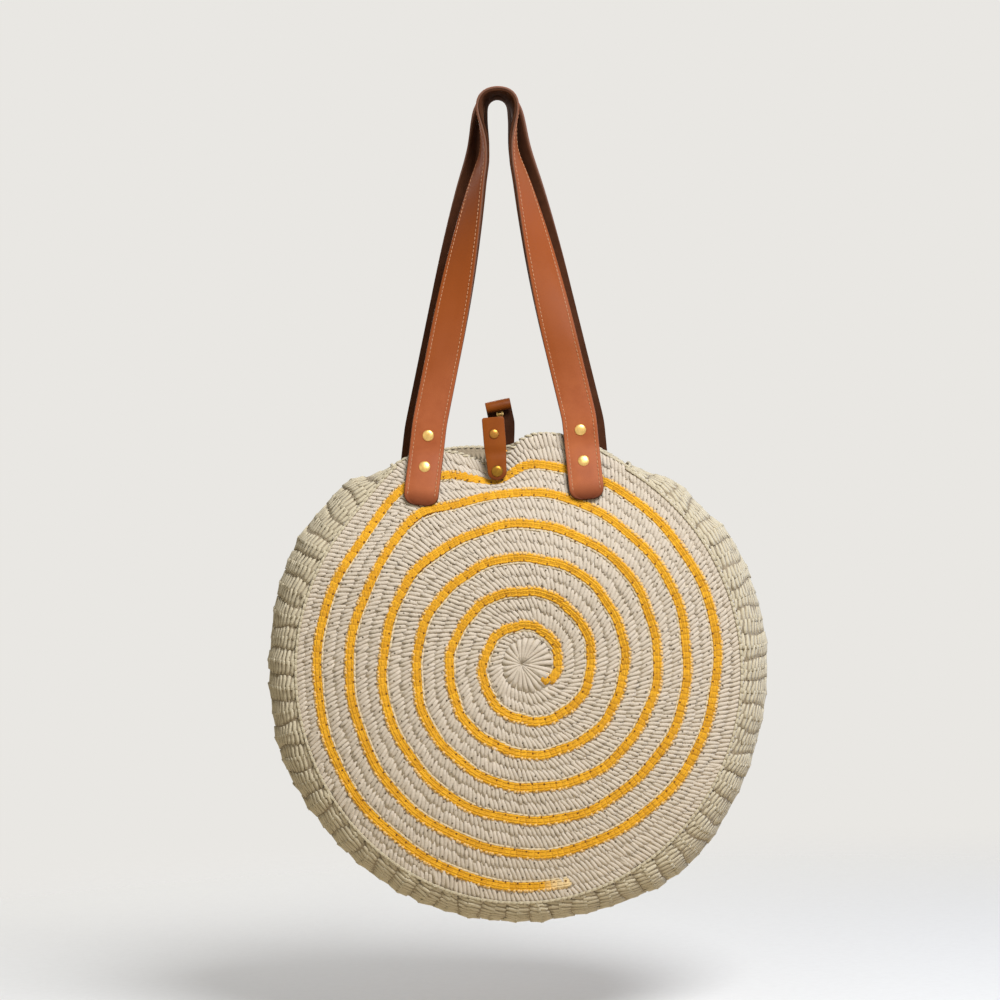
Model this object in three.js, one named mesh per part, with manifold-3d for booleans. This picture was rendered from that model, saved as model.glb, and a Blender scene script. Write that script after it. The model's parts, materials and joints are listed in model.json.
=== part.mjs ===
// A round crochet tote bag, hanging by its two leather handles.
// Millimetres, +Z up, front towards -Y. The origin is the point that the handles hang on.
import * as THREE from 'three';
import { mergeVertices } from 'three/addons/utils/BufferGeometryUtils.js';
import Module from 'manifold-3d';

const wasm = await Module();
wasm.setup();

// Fits
const fit = 0.3; // gap between two pieces that touch
const handleGap = 1; // gap between the two handles where they hang side by side

// Crochet body: two round panels joined by a side band that stops short of the mouth
const panelHalfWidth = 180;
const panelHalfHeight = 187; // the panel hangs a little longer than it is wide
const clothThickness = 5;
const halfDepth = 45; // middle of the bag to the seam between panel and side band
const crown = 12; // how far the middle of a panel stands out from its seam
const flatRadius = 60; // the middle of a panel is flat, so the bag lies on a wall
const bandBulge = 20; // how far the side band swells out past the panels, at the bottom
const bandSideBulge = 24;
const bandEndBulge = 6; // at the mouth, where the band runs out
const bandTaperLeft = 12; // degrees over which the band swells from its end
const bandTaperRight = 30;
const mouthHalfAngle = 32; // degrees each side of the top without a side band
const mouthFade = 62; // degrees each side of the top where the panels start to draw together
const mouthDraw = 20; // how far each panel is drawn in at the middle of the mouth
const frontDip = 21; // how far the front edge sags where the tab hangs on it
const rearDip = 6;
const frontDipLeft = 30; // how wide the front sag is on its left and on its right
const frontDipRight = 18;
const rearDipWidth = 18;
const dipReach = 52; // how far down the panel the sag is felt
const handleLift = 6; // how far a handle end pulls the panel's edge up
const liftWidth = 35;
const frontRightLiftX = 40;
const frontLeftLift = 9; // the cloth is pulled up most outside the front handle's left end
const frontLeftLiftX = -90;
const frontLeftLiftWidth = 25;
const liftReach = 16;
const seamRadius = 1.7;

// Contrast row: one spiral of yarn on each panel
const rowWidth = 9;
const rowProud = 1.2;
const rowGap = 0.9; // gap between the row and the panel under it
const rowPitch = 26.7;
const rowStartRadius = 19.9;
const rowCentreX = 8;
const rowCentreRise = 3.5; // spiral centre above the middle of the panel
const rowEndAngle = 277; // degrees, from +X towards +Z as seen from outside
const rowRimGap = 13; // least distance from the middle of the row to the rim
const rowStep = 9; // degrees between sections

// Handles
const handleDrop = 283; // hanging point down to the top edge of the panels
const strapWidth = 28;
const leatherThickness = 2;
const backingThickness = 1.6;
const edgeBevel = 0.5;
const handleShift = -7; // the handle ends sit a little to one side
const frontEndSpacing = 135;
const rearEndSpacing = 152;
const endLeanIn = 7; // how far each handle end leans in over its length
const endTilt = 3; // and both of them to the right
const frontNeckHalf = 11.5; // half the gap between the legs just under the arch
const rearNeckHalf = 17;
const neckDrop = 44;
const archHalf = 14;
const twistPower = 1.15;
const frontTwistStart = 210; // drop below the hanging point where a leg starts to turn edge on
const rearTwistStart = 170;
const frontArchTwist = 105; // degrees that a leg has turned at the arch
const rearArchTwist = 78;

// Rivets
const rivetRadius = 4.7;
const rivetDome = 1.6;
const rivetRim = 0.6;
const postRadius = 1.5;
const baseThickness = 1.5;
const postSeat = 0.8; // how deep a post stands in its base
const upperRivetRise = 14; // above the edge of the panel
const rivetSpacing = 25;
const endTail = 31; // lower rivet to the tip of the handle end
const flexRise = 10; // upper rivet to the line where the handle bends
const tipRound = 9; // length of the rounded tip

// Closure: a tab on the front panel and a longer strap on the rear one, with a snap
const tabThickness = 2.4;
const tabTipRound = 7;
const tabCorner = 2; // rounding of the front tab's upper corners
const tabRivetDrop = 5; // below the edge of the panel
const tabTail = 7.5; // rivet to tip
const tabFlexRise = 10; // edge of the panel to the line where the tab bends
const skivedThickness = 1.2; // the leather is pared thin where it bends
const skiveLength = 6;
const bendGap = 0.7; // between a tab's end and its flap
const frontTabX = -13;
const frontTabWidth = 18;
const frontTabLength = 27; // above the bend
const frontSnapRise = 15.5; // above the bend
const closureStrapX = -6;
const closureStrapWidth = 21;
const closureStrapLength = 25; // above the bend, before the curl
const closureSnapRise = 18.5;
const curlRadius = 3.8; // to the middle of the leather
const curlTurn = 200; // degrees
const snapRadius = 4;
const studRadius = 2.1;
const studHeight = 1.6;

// Facets
const mouthSteps = 18;
const bandSteps = 36;
const bandSectionSteps = 6;
const panelRings = 6;
const roundSides = 10;
const seamSides = 6;
const strapSteps = 40;
const archCrowding = 0.6; // above 0, a handle's sections crowd towards its arch

const degrees = Math.PI / 180;
const centreZ = -(handleDrop + panelHalfHeight);
const flatShare = flatRadius / panelHalfWidth;
const seatGap = rowGap + rowProud + fit; // what lies on a panel clears the contrast row
const strapThickness = leatherThickness + fit + backingThickness;
const hands = [-1, 1]; // left and right, as signs of x

// The spiral winds in from the rim, as far out as the panel lets it on its three low sides.
const turnsBack = (angle) => (rowEndAngle - angle) / 360;
const rowEndRadius = Math.min(
  panelHalfHeight + rowCentreRise - rowRimGap,
  panelHalfWidth + rowCentreX - rowRimGap + rowPitch * turnsBack(180),
  panelHalfWidth - rowCentreX - rowRimGap + rowPitch * turnsBack(0),
);

const colours = {
  yarn: { color: 0xcfc5b4, roughness: 0.95, metalness: 0 },
  contrast: { color: 0xf0a51e, roughness: 0.9, metalness: 0 },
  leather: { color: 0xb4622f, roughness: 0.5, metalness: 0 },
  suede: { color: 0x44291d, roughness: 0.95, metalness: 0 },
  brass: { color: 0xdcab58, roughness: 0.3, metalness: 1 },
};

const bag = new THREE.Group();

function addPiece(name, geometry, finish) {
  const mesh = new THREE.Mesh(geometry, new THREE.MeshStandardMaterial(colours[finish]));
  mesh.name = name;
  bag.add(mesh);
}

// Geometry from points and triangles, turned so that its faces point outwards.
function closedGeometry(points, triangles) {
  const sixfoldVolume = triangles.reduce((sum, [a, b, c]) => {
    return sum + points[a].dot(points[b].clone().cross(points[c]));
  }, 0);
  const index = triangles.flatMap(([a, b, c]) => (sixfoldVolume < 0 ? [a, c, b] : [a, b, c]));
  return new THREE.BufferGeometry().setFromPoints(points).setIndex(index);
}

// A closed skin over a row of rings with equally many points. The two halves of a ring split their
// quads in mirrored ways, so the two faces of a twisted strap stay parallel.
// Each end is closed by a fan about its middle, or by a strip where the ring is a folded band.
function skin(rings, foldedEnds = false) {
  const count = rings[0].length;
  const points = rings.flat();
  const triangles = [];
  for (let r = 0; r + 1 < rings.length; r++) {
    for (let i = 0; i < count; i++) {
      const j = (i + 1) % count;
      const [a, b, c, d] = [i, j, count + j, count + i].map((k) => r * count + k);
      if (i < count / 2) triangles.push([a, b, c], [a, c, d]);
      else triangles.push([a, b, d], [b, c, d]);
    }
  }
  for (const end of [0, rings.length - 1]) {
    const start = end * count;
    const cap = foldedEnds ? stripCap(count) : fanCap(count, points.length - start);
    if (!foldedEnds) points.push(middleOf(rings[end]));
    for (const corners of cap) {
      const triangle = corners.map((corner) => corner + start);
      triangles.push(end === 0 ? triangle.reverse() : triangle);
    }
  }
  return closedGeometry(points, triangles);
}

function fanCap(count, hub) {
  return Array.from({ length: count }, (_, i) => [i, (i + 1) % count, hub]);
}

function stripCap(count) {
  const cap = [];
  for (let i = 0; i + 1 < count / 2; i++) {
    const [a, b, c, d] = [i, i + 1, count - 2 - i, count - 1 - i];
    cap.push([a, b, c], [a, c, d]);
  }
  return cap;
}

function middleOf(ring) {
  const sum = ring.reduce((total, point) => total.add(point), new THREE.Vector3());
  return sum.divideScalar(ring.length);
}

function toManifold(geometry) {
  const bare = new THREE.BufferGeometry();
  bare.setAttribute('position', geometry.getAttribute('position'));
  bare.setIndex(geometry.getIndex());
  const joined = mergeVertices(bare);
  const vertProperties = joined.getAttribute('position').array;
  const triVerts = new Uint32Array(joined.getIndex().array);
  return new wasm.Manifold(new wasm.Mesh({ numProp: 3, vertProperties, triVerts }));
}

function fromManifold(manifold) {
  const mesh = manifold.getMesh();
  const geometry = new THREE.BufferGeometry();
  geometry.setAttribute('position', new THREE.BufferAttribute(mesh.vertProperties, 3));
  geometry.setIndex(new THREE.BufferAttribute(mesh.triVerts, 1));
  return geometry;
}

// A pin is a point and an outward direction. Each one leaves a clear hole in the geometry.
function withHoles(geometry, pins) {
  const length = 10 * clothThickness;
  let solid = toManifold(geometry);
  for (const pin of pins) {
    const drill = new THREE.CylinderGeometry(postRadius + fit, postRadius + fit, length, roundSides);
    drill.applyMatrix4(standingOn(pin));
    solid = solid.subtract(toManifold(drill));
  }
  return fromManifold(solid);
}

// The matrix that stands a shape made along +Y on a pin.
function standingOn(pin) {
  const turn = new THREE.Quaternion().setFromUnitVectors(new THREE.Vector3(0, 1, 0), pin.outward);
  return new THREE.Matrix4().compose(pin.point, turn, new THREE.Vector3(1, 1, 1));
}

// Shape of a panel. A share of 0 is its middle and 1 its rim; the angle runs from the top.
function mouthPull(angle) {
  return THREE.MathUtils.smoothstep(Math.cos(angle), Math.cos(mouthFade * degrees), 1);
}

function rimDepth(angle) {
  return halfDepth - mouthDraw * mouthPull(angle);
}

function panelDepth(share, angle) {
  const outer = Math.max(0, (share - flatShare) / (1 - flatShare));
  const drawn = mouthDraw * mouthPull(angle) * THREE.MathUtils.smoothstep(share, flatShare, 1);
  return halfDepth + crown * (1 - outer ** 2) - drawn;
}

function bump(x, middle, width) {
  return Math.exp(-(((x - middle) / width) ** 2));
}

// How far the panel is pulled down by the closure and up by the handles
function dipAt(side, x, share, angle) {
  if (Math.cos(angle) <= 0) return 0;
  const felt = (reach) => THREE.MathUtils.smoothstep(share, 1 - reach / panelHalfHeight, 1);
  const spread = x < side.closureX ? side.dipLeft : side.dipRight;
  const sag = side.dip * bump(x, side.closureX, spread);
  const [left, right] = side.lifts.map((lift) => lift.rise * bump(x, lift.x, lift.width));
  return sag * felt(dipReach) - (left + right) * felt(liftReach);
}

function legX(side, hand) {
  return handleShift + (hand * side.endSpacing) / 2;
}

function rimDip(side, angle) {
  return dipAt(side, panelHalfWidth * Math.sin(angle), 1, angle);
}

// A point of the panel's outside, moved outwards by lift.
function panelPoint(side, share, angle, lift = 0) {
  const x = panelHalfWidth * share * Math.sin(angle);
  const z = centreZ + panelHalfHeight * share * Math.cos(angle) - dipAt(side, x, share, angle);
  return new THREE.Vector3(x, side.sign * (panelDepth(share, angle) + lift), z);
}

// The place on an unsagged panel that has this x and z
function discPlace(x, z) {
  const across = x / panelHalfWidth;
  const up = (z - centreZ) / panelHalfHeight;
  return { share: Math.hypot(across, up), angle: Math.atan2(across, up) };
}

// The depth of the sagged panel behind a point, or of its rim where the point is past it
function depthBehind(side, x, z) {
  let place = discPlace(x, z);
  for (let pass = 0; pass < 12; pass++) {
    place = discPlace(x, z + dipAt(side, x, place.share, place.angle));
  }
  return panelDepth(Math.min(place.share, 1), place.angle);
}

function edgeZ(side, x) {
  return panelPoint(side, 1, Math.asin(x / panelHalfWidth)).z;
}

const sides = [
  {
    name: 'front',
    sign: -1,
    dip: frontDip,
    dipLeft: frontDipLeft,
    dipRight: frontDipRight,
    lifts: [
      { x: frontLeftLiftX, rise: frontLeftLift, width: frontLeftLiftWidth },
      { x: frontRightLiftX, rise: handleLift, width: liftWidth },
    ],
    closureX: frontTabX,
    endSpacing: frontEndSpacing,
    neckHalf: frontNeckHalf,
    twistStart: frontTwistStart,
    archTwist: frontArchTwist,
  },
  {
    name: 'rear',
    sign: 1,
    dip: rearDip,
    dipLeft: rearDipWidth,
    dipRight: rearDipWidth,
    lifts: hands.map((hand) => {
      return { x: handleShift + (hand * rearEndSpacing) / 2, rise: handleLift, width: liftWidth };
    }),
    closureX: closureStrapX,
    endSpacing: rearEndSpacing,
    neckHalf: rearNeckHalf,
    twistStart: rearTwistStart,
    archTwist: rearArchTwist,
  },
];

// Angles round the rim: the side band's own steps, then the mouth's
function evenSteps(from, to, steps) {
  return Array.from({ length: steps + 1 }, (_, i) => from + ((to - from) * i) / steps);
}

const bandAngles = evenSteps(mouthHalfAngle * degrees, (360 - mouthHalfAngle) * degrees, bandSteps);
const mouthAngles = evenSteps(-mouthHalfAngle * degrees, mouthHalfAngle * degrees, mouthSteps);
const rimAngles = [...bandAngles, ...mouthAngles.slice(1, -1)];

// Panels: crowned round cloths whose top edges are drawn together at the mouth
function panelGeometry(side) {
  const shares = evenSteps(flatShare, 1, panelRings);
  const outside = shares.map((share) => rimAngles.map((angle) => panelPoint(side, share, angle)));
  const inside = shares.map((share) => {
    return rimAngles.map((angle) => panelPoint(side, share, angle, -clothThickness));
  });
  return skin([...outside, ...inside.reverse()]);
}

// Side band: a strip that swells out between the two panels and runs out at the mouth
function bulgeAt(angle) {
  const fromTop = Math.min(angle, 2 * Math.PI - angle) / degrees;
  const taper = angle < Math.PI ? bandTaperRight : bandTaperLeft;
  const swell = THREE.MathUtils.smoothstep(fromTop, mouthHalfAngle, mouthHalfAngle + taper);
  const full = THREE.MathUtils.lerp(bandBulge, bandSideBulge, Math.abs(Math.sin(angle)));
  return THREE.MathUtils.lerp(bandEndBulge, full, swell);
}

function bandGeometry() {
  const rings = bandAngles.map((angle) => {
    const across = evenSteps(-Math.PI / 2, Math.PI / 2, bandSectionSteps);
    const [frontDrop, rearDrop] = sides.map((side) => rimDip(side, angle));
    const point = (inset, turn) => {
      const out = fit + (bulgeAt(angle) - inset) * Math.cos(turn);
      const drop = THREE.MathUtils.lerp(frontDrop, rearDrop, (1 + Math.sin(turn)) / 2);
      return new THREE.Vector3(
        (panelHalfWidth + out) * Math.sin(angle),
        (rimDepth(angle) - inset) * Math.sin(turn),
        centreZ + (panelHalfHeight + out) * Math.cos(angle) - drop,
      );
    };
    const outside = across.map((turn) => point(0, turn));
    const inside = across.map((turn) => point(clothThickness, turn));
    return [...outside, ...inside.reverse()];
  });
  return skin(rings, true);
}

// Seam: the cord of joining stitches that covers the line between panel and side band
function seamGeometry(side) {
  const rings = bandAngles.map((angle) => {
    const depth = rimDepth(angle) + fit + seamRadius;
    return evenSteps(0, 2 * Math.PI, seamSides).slice(0, -1).map((turn) => {
      const out = fit / 2 + seamRadius * Math.cos(turn);
      return new THREE.Vector3(
        (panelHalfWidth + out) * Math.sin(angle),
        side.sign * (depth + seamRadius * Math.sin(turn)),
        centreZ + (panelHalfHeight + out) * Math.cos(angle) - rimDip(side, angle),
      );
    });
  });
  return skin(rings);
}

// Contrast row: a flat ribbon wound in a spiral on the panel
function rowGeometry(side) {
  const centre = centreZ + rowCentreRise;
  const half = rowWidth / 2;
  const [low, high] = [rowGap, rowGap + rowProud];
  const rings = [];
  let radius = rowStartRadius;
  while (radius <= rowEndRadius) {
    const turned = (rowEndAngle - (360 * (rowEndRadius - radius)) / rowPitch) * degrees;
    const corner = (offset, lift) => {
      const reach = radius + offset;
      const x = -side.sign * (rowCentreX + reach * Math.cos(turned));
      const { share, angle } = discPlace(x, centre + reach * Math.sin(turned));
      return panelPoint(side, share, angle, lift);
    };
    rings.push([corner(-half, low), corner(half, low), corner(half, high), corner(-half, high)]);
    const inner = radius < panelHalfWidth / 2;
    radius += (rowPitch * (inner ? 2 : 1) * rowStep) / 360;
  }
  return skin(rings);
}

// Straps. A ring is the strap's section at a point, between two distances out from the point.
function strapRing(point, edge, outward, width, from, to, bevel) {
  const half = width / 2;
  const corner = (across, out) => {
    return point.clone().addScaledVector(edge, across).addScaledVector(outward, out);
  };
  if (bevel === 0) return [corner(-half, from), corner(half, from), corner(half, to), corner(-half, to)];
  const cut = half - Math.min(bevel, half / 2);
  return [
    corner(-half, from),
    corner(half, from),
    corner(half, to - bevel),
    corner(cut, to),
    corner(-cut, to),
    corner(-half, to - bevel),
  ];
}

// The two layers of a handle, each from the face between them to its own outer face
const layers = [
  { suffix: '', finish: 'leather', from: fit / 2, to: fit / 2 + leatherThickness, bevel: edgeBevel },
  { suffix: '_backing', finish: 'suede', from: -fit / 2, to: -fit / 2 - backingThickness, bevel: 0 },
];

const acrossX = new THREE.Vector3(1, 0, 0);

// Half width at a height above a rounded tip
function tipWidth(width, round, height) {
  const short = Math.max(0, 1 - height / round);
  return width * Math.sqrt(1 - short ** 2);
}

function tipHeights(round, length) {
  const curved = evenSteps(15 * degrees, 90 * degrees, 4).map((turn) => round * (1 - Math.cos(turn)));
  return [...curved, ...evenSteps(round, length, 5).slice(1)];
}

// Where a strap's inner face lies so that it clears the panel and its contrast row
function seatDepth(side, x, z, width) {
  const depths = evenSteps(-width / 2, width / 2, 4).map((step) => depthBehind(side, x + step, z));
  return Math.max(...depths) + seatGap;
}

// Places shared by the pieces of one handle
function handlePlan(side) {
  const legs = hands.map((hand) => {
    const tipX = legX(side, hand);
    const flexX = tipX - hand * endLeanIn + endTilt;
    return { hand, name: hand < 0 ? 'left' : 'right', tipX, flexX };
  });
  const edge = (edgeZ(side, legs[0].tipX) + edgeZ(side, legs[1].tipX)) / 2;
  const upperZ = edge + upperRivetRise;
  const lowerZ = upperZ - rivetSpacing;
  const tipZ = lowerZ - endTail;
  const flexZ = upperZ + flexRise;
  const plan = { side, legs, edge, upperZ, lowerZ, tipZ, flexZ };
  plan.tipSeat = endSeat(plan, tipZ);
  plan.edgeSeat = endSeat(plan, edge);
  const heights = evenSteps(tipZ, edge, 6);
  plan.lift = Math.max(...heights.map((z) => endSeat(plan, z) - straightSeat(plan, z)));
  return plan;
}

function endX(plan, leg, z) {
  return THREE.MathUtils.mapLinear(z, plan.tipZ, plan.flexZ, leg.tipX, leg.flexX);
}

function endSeat(plan, z) {
  return Math.max(...plan.legs.map((leg) => seatDepth(plan.side, endX(plan, leg, z), z, strapWidth)));
}

function straightSeat(plan, z) {
  return THREE.MathUtils.mapLinear(z, plan.tipZ, plan.edge, plan.tipSeat, plan.edgeSeat);
}

// Depth of the face between the two layers of a handle end.
// The end lies straight on the panel, and turns upright halfway between its two rivets.
function endDepth(plan, z) {
  const bendZ = (plan.upperZ + plan.lowerZ) / 2;
  return straightSeat(plan, Math.min(z, bendZ)) + plan.lift + backingThickness + fit / 2;
}

// A pin through a handle end, standing on its outer face, with the thickness it has to grip
function endPin(plan, leg, z) {
  const { side } = plan;
  const reach = rivetRadius;
  const slope = (endDepth(plan, z + reach) - endDepth(plan, z - reach)) / (2 * reach);
  const x = endX(plan, leg, z);
  const depth = endDepth(plan, z) + fit / 2 + leatherThickness;
  const outward = new THREE.Vector3(0, side.sign, -slope).normalize();
  const throughPanel = z + reach < edgeZ(side, x);
  const grip = throughPanel ? depth - panelInside(side, x, z) : strapThickness;
  return { point: new THREE.Vector3(x, side.sign * depth, z), outward, grip };
}

// The least depth of a panel's inner face round a rivet
function panelInside(side, x, z) {
  const steps = evenSteps(-rivetRadius, rivetRadius, 2);
  return Math.min(...steps.map((step) => depthBehind(side, x, z + step))) - clothThickness;
}

function handleEndGeometry(plan, leg, layer) {
  const length = plan.flexZ - fit / 2 - plan.tipZ;
  const outward = new THREE.Vector3(0, plan.side.sign, 0);
  const rings = tipHeights(tipRound, length).map((height) => {
    const z = plan.tipZ + height;
    const point = new THREE.Vector3(endX(plan, leg, z), plan.side.sign * endDepth(plan, z), z);
    const width = tipWidth(strapWidth, tipRound, height);
    return strapRing(point, acrossX, outward, width, layer.from, layer.to, layer.bevel);
  });
  return skin(rings);
}

// The free length of a handle: up one leg, over the hanging point and down the other
function handleCurve(plan) {
  const depthFlex = endDepth(plan, plan.flexZ);
  const depthTop = (strapWidth + handleGap) / 2;
  const top = (x, z) => new THREE.Vector3(x, plan.side.sign * depthTop, z);
  const apex = top(0, backingThickness + fit / 2);
  const half = (leg) => {
    const foot = new THREE.Vector3(leg.flexX, plan.side.sign * depthFlex, plan.flexZ + fit / 2);
    const neck = top(leg.hand * plan.side.neckHalf, -neckDrop);
    const between = [0.3, 0.6, 0.85].map((share) => foot.clone().lerp(neck, share));
    const arch = [90, 45].map((turn) => {
      const fall = archHalf * (1 - Math.cos(turn * degrees));
      return top(leg.hand * archHalf * Math.sin(turn * degrees), apex.z - fall);
    });
    return [foot, ...between, neck, ...arch];
  };
  const points = [...half(plan.legs[0]), apex, ...half(plan.legs[1]).reverse()];
  return new THREE.CatmullRomCurve3(points, false, 'centripetal');
}

function handleStrapGeometry(plan, layer) {
  const { side } = plan;
  const curve = handleCurve(plan);
  const rings = evenSteps(-1, 1, strapSteps).map((step) => {
    const share = (1 + step * Math.abs(step) ** archCrowding) / 2;
    const point = curve.getPointAt(share);
    const along = curve.getTangentAt(share);
    const risen = THREE.MathUtils.clamp(1 + point.z / side.twistStart, 0, 1);
    const beside = Math.min(1, Math.abs(point.x) / archHalf);
    const twist = THREE.MathUtils.lerp(90, side.archTwist * risen ** twistPower, beside) * degrees;
    const towardsLoop = share < 0.5 ? 1 : -1;
    const edge = new THREE.Vector3(towardsLoop * Math.cos(twist), side.sign * Math.sin(twist), 0);
    const outward = edge.clone().cross(along).normalize().multiplyScalar(-side.sign);
    return strapRing(point, edge, outward, strapWidth, layer.from, layer.to, layer.bevel);
  });
  return skin(rings);
}

// Rivets: a domed cap with a post, and a base that the post stands in
function domeProfile(radius, postLength) {
  return [
    new THREE.Vector2(0, rivetRim + rivetDome),
    new THREE.Vector2(0.6 * radius, rivetRim + 0.75 * rivetDome),
    new THREE.Vector2(radius, rivetRim),
    new THREE.Vector2(radius, 0),
    new THREE.Vector2(postRadius, 0),
    new THREE.Vector2(postRadius, -postLength),
    new THREE.Vector2(0, -postLength),
  ];
}

function seatProfile(radius) {
  return [
    new THREE.Vector2(0, -postSeat - fit),
    new THREE.Vector2(postRadius + fit, -postSeat - fit),
    new THREE.Vector2(postRadius + fit, 0),
    new THREE.Vector2(radius, 0),
  ];
}

function baseProfile(radius) {
  return [
    ...seatProfile(radius),
    new THREE.Vector2(radius, -baseThickness / 2),
    new THREE.Vector2(radius - baseThickness / 2, -baseThickness),
    new THREE.Vector2(0, -baseThickness),
  ];
}

function studProfile(radius) {
  return [
    ...seatProfile(radius),
    new THREE.Vector2(radius, -baseThickness),
    new THREE.Vector2(studRadius - fit, -baseThickness),
    new THREE.Vector2(studRadius, -baseThickness - studHeight / 2),
    new THREE.Vector2(0, -baseThickness - studHeight),
  ];
}

function socketProfile(radius) {
  return [
    ...seatProfile(radius),
    new THREE.Vector2(radius, -baseThickness - studHeight),
    new THREE.Vector2(studRadius + fit, -baseThickness - studHeight),
    new THREE.Vector2(studRadius + fit, -baseThickness),
    new THREE.Vector2(0, -baseThickness),
  ];
}

function turned(profile) {
  const geometry = new THREE.LatheGeometry(profile, roundSides);
  return fromManifold(orientedManifold(geometry));
}

// A lathe whose profile runs down the outside faces inwards, so its triangles are turned round.
function orientedManifold(geometry) {
  geometry.deleteAttribute('normal');
  geometry.deleteAttribute('uv');
  const joined = mergeVertices(geometry);
  const position = joined.getAttribute('position');
  const points = Array.from({ length: position.count }, (_, i) => {
    return new THREE.Vector3().fromBufferAttribute(position, i);
  });
  const flat = Array.from(joined.getIndex().array);
  const triangles = [];
  for (let i = 0; i < flat.length; i += 3) {
    const [a, b, c] = flat.slice(i, i + 3);
    if (a !== b && b !== c && a !== c) triangles.push([a, b, c]);
  }
  return toManifold(closedGeometry(points, triangles));
}

// A rivet or snap on a pin: the cap outside, and what holds its post inside
function addFastener(capName, innerName, pin, radius, innerProfile) {
  const postLength = pin.grip + 2 * fit + postSeat;
  const cap = turned(domeProfile(radius, postLength));
  const inner = turned(innerProfile(radius));
  const capPin = { ...pin, point: pin.point.clone().addScaledVector(pin.outward, fit) };
  const innerPin = { ...pin, point: pin.point.clone().addScaledVector(pin.outward, -pin.grip - fit) };
  addPiece(capName, cap.applyMatrix4(standingOn(capPin)), 'brass');
  addPiece(innerName, inner.applyMatrix4(standingOn(innerPin)), 'brass');
}

// Tabs: a riveted end on the panel and a flap above the line where the leather bends
function tabPlan(side, x, width) {
  const edge = edgeZ(side, x);
  const rivetZ = edge - tabRivetDrop;
  const tipZ = rivetZ - tabTail;
  const flexZ = edge + tabFlexRise;
  const inner = Math.max(...[tipZ, rivetZ, edge].map((z) => seatDepth(side, x, z, width)));
  return { side, x, width, rivetZ, tipZ, flexZ, inner };
}

function tabPoint(plan, height, out) {
  return new THREE.Vector3(plan.x, plan.side.sign * (plan.inner + out), height);
}

function tabPin(plan, z, grip) {
  const outward = new THREE.Vector3(0, plan.side.sign, 0);
  return { point: tabPoint(plan, z, tabThickness), outward, grip };
}

// The leather of a tab is pared down to the bend. The top of its end is round about the bend,
// so the flap can turn on it.
function tabEndGeometry(plan) {
  const outward = new THREE.Vector3(0, plan.side.sign, 0);
  const skived = skivedThickness / 2;
  const ring = (z, width, half) => {
    return strapRing(tabPoint(plan, z, tabThickness / 2), acrossX, outward, width, -half, half, 0);
  };
  const heights = tipHeights(tabTipRound, plan.flexZ - skiveLength - plan.tipZ);
  const body = heights.map((height) => {
    return ring(plan.tipZ + height, tipWidth(plan.width, tabTipRound, height), tabThickness / 2);
  });
  const top = evenSteps(0, 75 * degrees, 3).map((turn) => {
    return ring(plan.flexZ + skived * Math.sin(turn), plan.width, skived * Math.cos(turn));
  });
  return skin([...body, ...top]);
}

// A flap runs straight up from the bend and may end in a curl towards the mouth.
function flapGeometry(plan, length, curl) {
  const middle = tabThickness / 2;
  const skived = skivedThickness / 2;
  const section = (height, half) => {
    const outward = new THREE.Vector3(0, plan.side.sign, 0);
    return { point: tabPoint(plan, plan.flexZ + height, middle), outward, width: plan.width, half };
  };
  const foot = section(skived + bendGap, skived);
  const straight = evenSteps(skiveLength, length, 2).map((height) => section(height, middle));
  const ending = curl > 0 ? curlSections(plan, length, curl) : roundedTop(plan, length);
  const sections = [foot, ...straight, ...ending];
  return skin(
    sections.map(({ point, outward, width, half }) => {
      return strapRing(point, acrossX, outward, width, -half, half, edgeBevel);
    }),
  );
}

function curlSections(plan, length, curl) {
  const middle = tabThickness / 2;
  return evenSteps(0, curl * degrees, 10).slice(1).map((turn) => {
    const out = middle - curlRadius * (1 - Math.cos(turn));
    const point = tabPoint(plan, plan.flexZ + length + curlRadius * Math.sin(turn), out);
    const outward = new THREE.Vector3(0, plan.side.sign * Math.cos(turn), Math.sin(turn));
    return { point, outward, width: plan.width, half: middle };
  });
}

function roundedTop(plan, length) {
  const middle = tabThickness / 2;
  return evenSteps(0, 75 * degrees, 3).slice(1).map((turn) => {
    const height = plan.flexZ + length + tabCorner * Math.sin(turn);
    const width = plan.width - 2 * tabCorner * (1 - Math.cos(turn));
    const outward = new THREE.Vector3(0, plan.side.sign, 0);
    return { point: tabPoint(plan, height, middle), outward, width, half: middle };
  });
}

function addTab(plan, name, length, curl, snapRise, snap) {
  const rivetGrip = plan.inner + tabThickness - panelInside(plan.side, plan.x, plan.rivetZ);
  const rivet = tabPin(plan, plan.rivetZ, rivetGrip);
  const snapPin = tabPin(plan, plan.flexZ + snapRise, tabThickness);
  addPiece(`${name}_end`, withHoles(tabEndGeometry(plan), [rivet]), 'leather');
  addPiece(`${name}_flap`, withHoles(flapGeometry(plan, length, curl), [snapPin]), 'leather');
  addFastener(`${name}_rivet`, `${name}_rivet_base`, rivet, rivetRadius, baseProfile);
  addFastener(`${name}_snap_cap`, `${name}_${snap.name}`, snapPin, snapRadius, snap.profile);
  return rivet;
}

// Put the pieces together, side by side
function addHandle(side) {
  const plan = handlePlan(side);
  const panelPins = [];
  for (const leg of plan.legs) {
    const upper = endPin(plan, leg, plan.upperZ);
    const lower = endPin(plan, leg, plan.lowerZ);
    const name = `${side.name}_handle_${leg.name}_end`;
    for (const layer of layers) {
      const end = handleEndGeometry(plan, leg, layer);
      addPiece(name + layer.suffix, withHoles(end, [upper, lower]), layer.finish);
    }
    for (const [place, pin] of [['upper', upper], ['lower', lower]]) {
      const rivet = `${side.name}_${leg.name}_${place}_rivet`;
      addFastener(rivet, `${rivet}_base`, pin, rivetRadius, baseProfile);
    }
    panelPins.push(lower);
  }
  for (const layer of layers) {
    const name = `${side.name}_handle_strap${layer.suffix}`;
    addPiece(name, handleStrapGeometry(plan, layer), layer.finish);
  }
  return panelPins;
}

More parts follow.
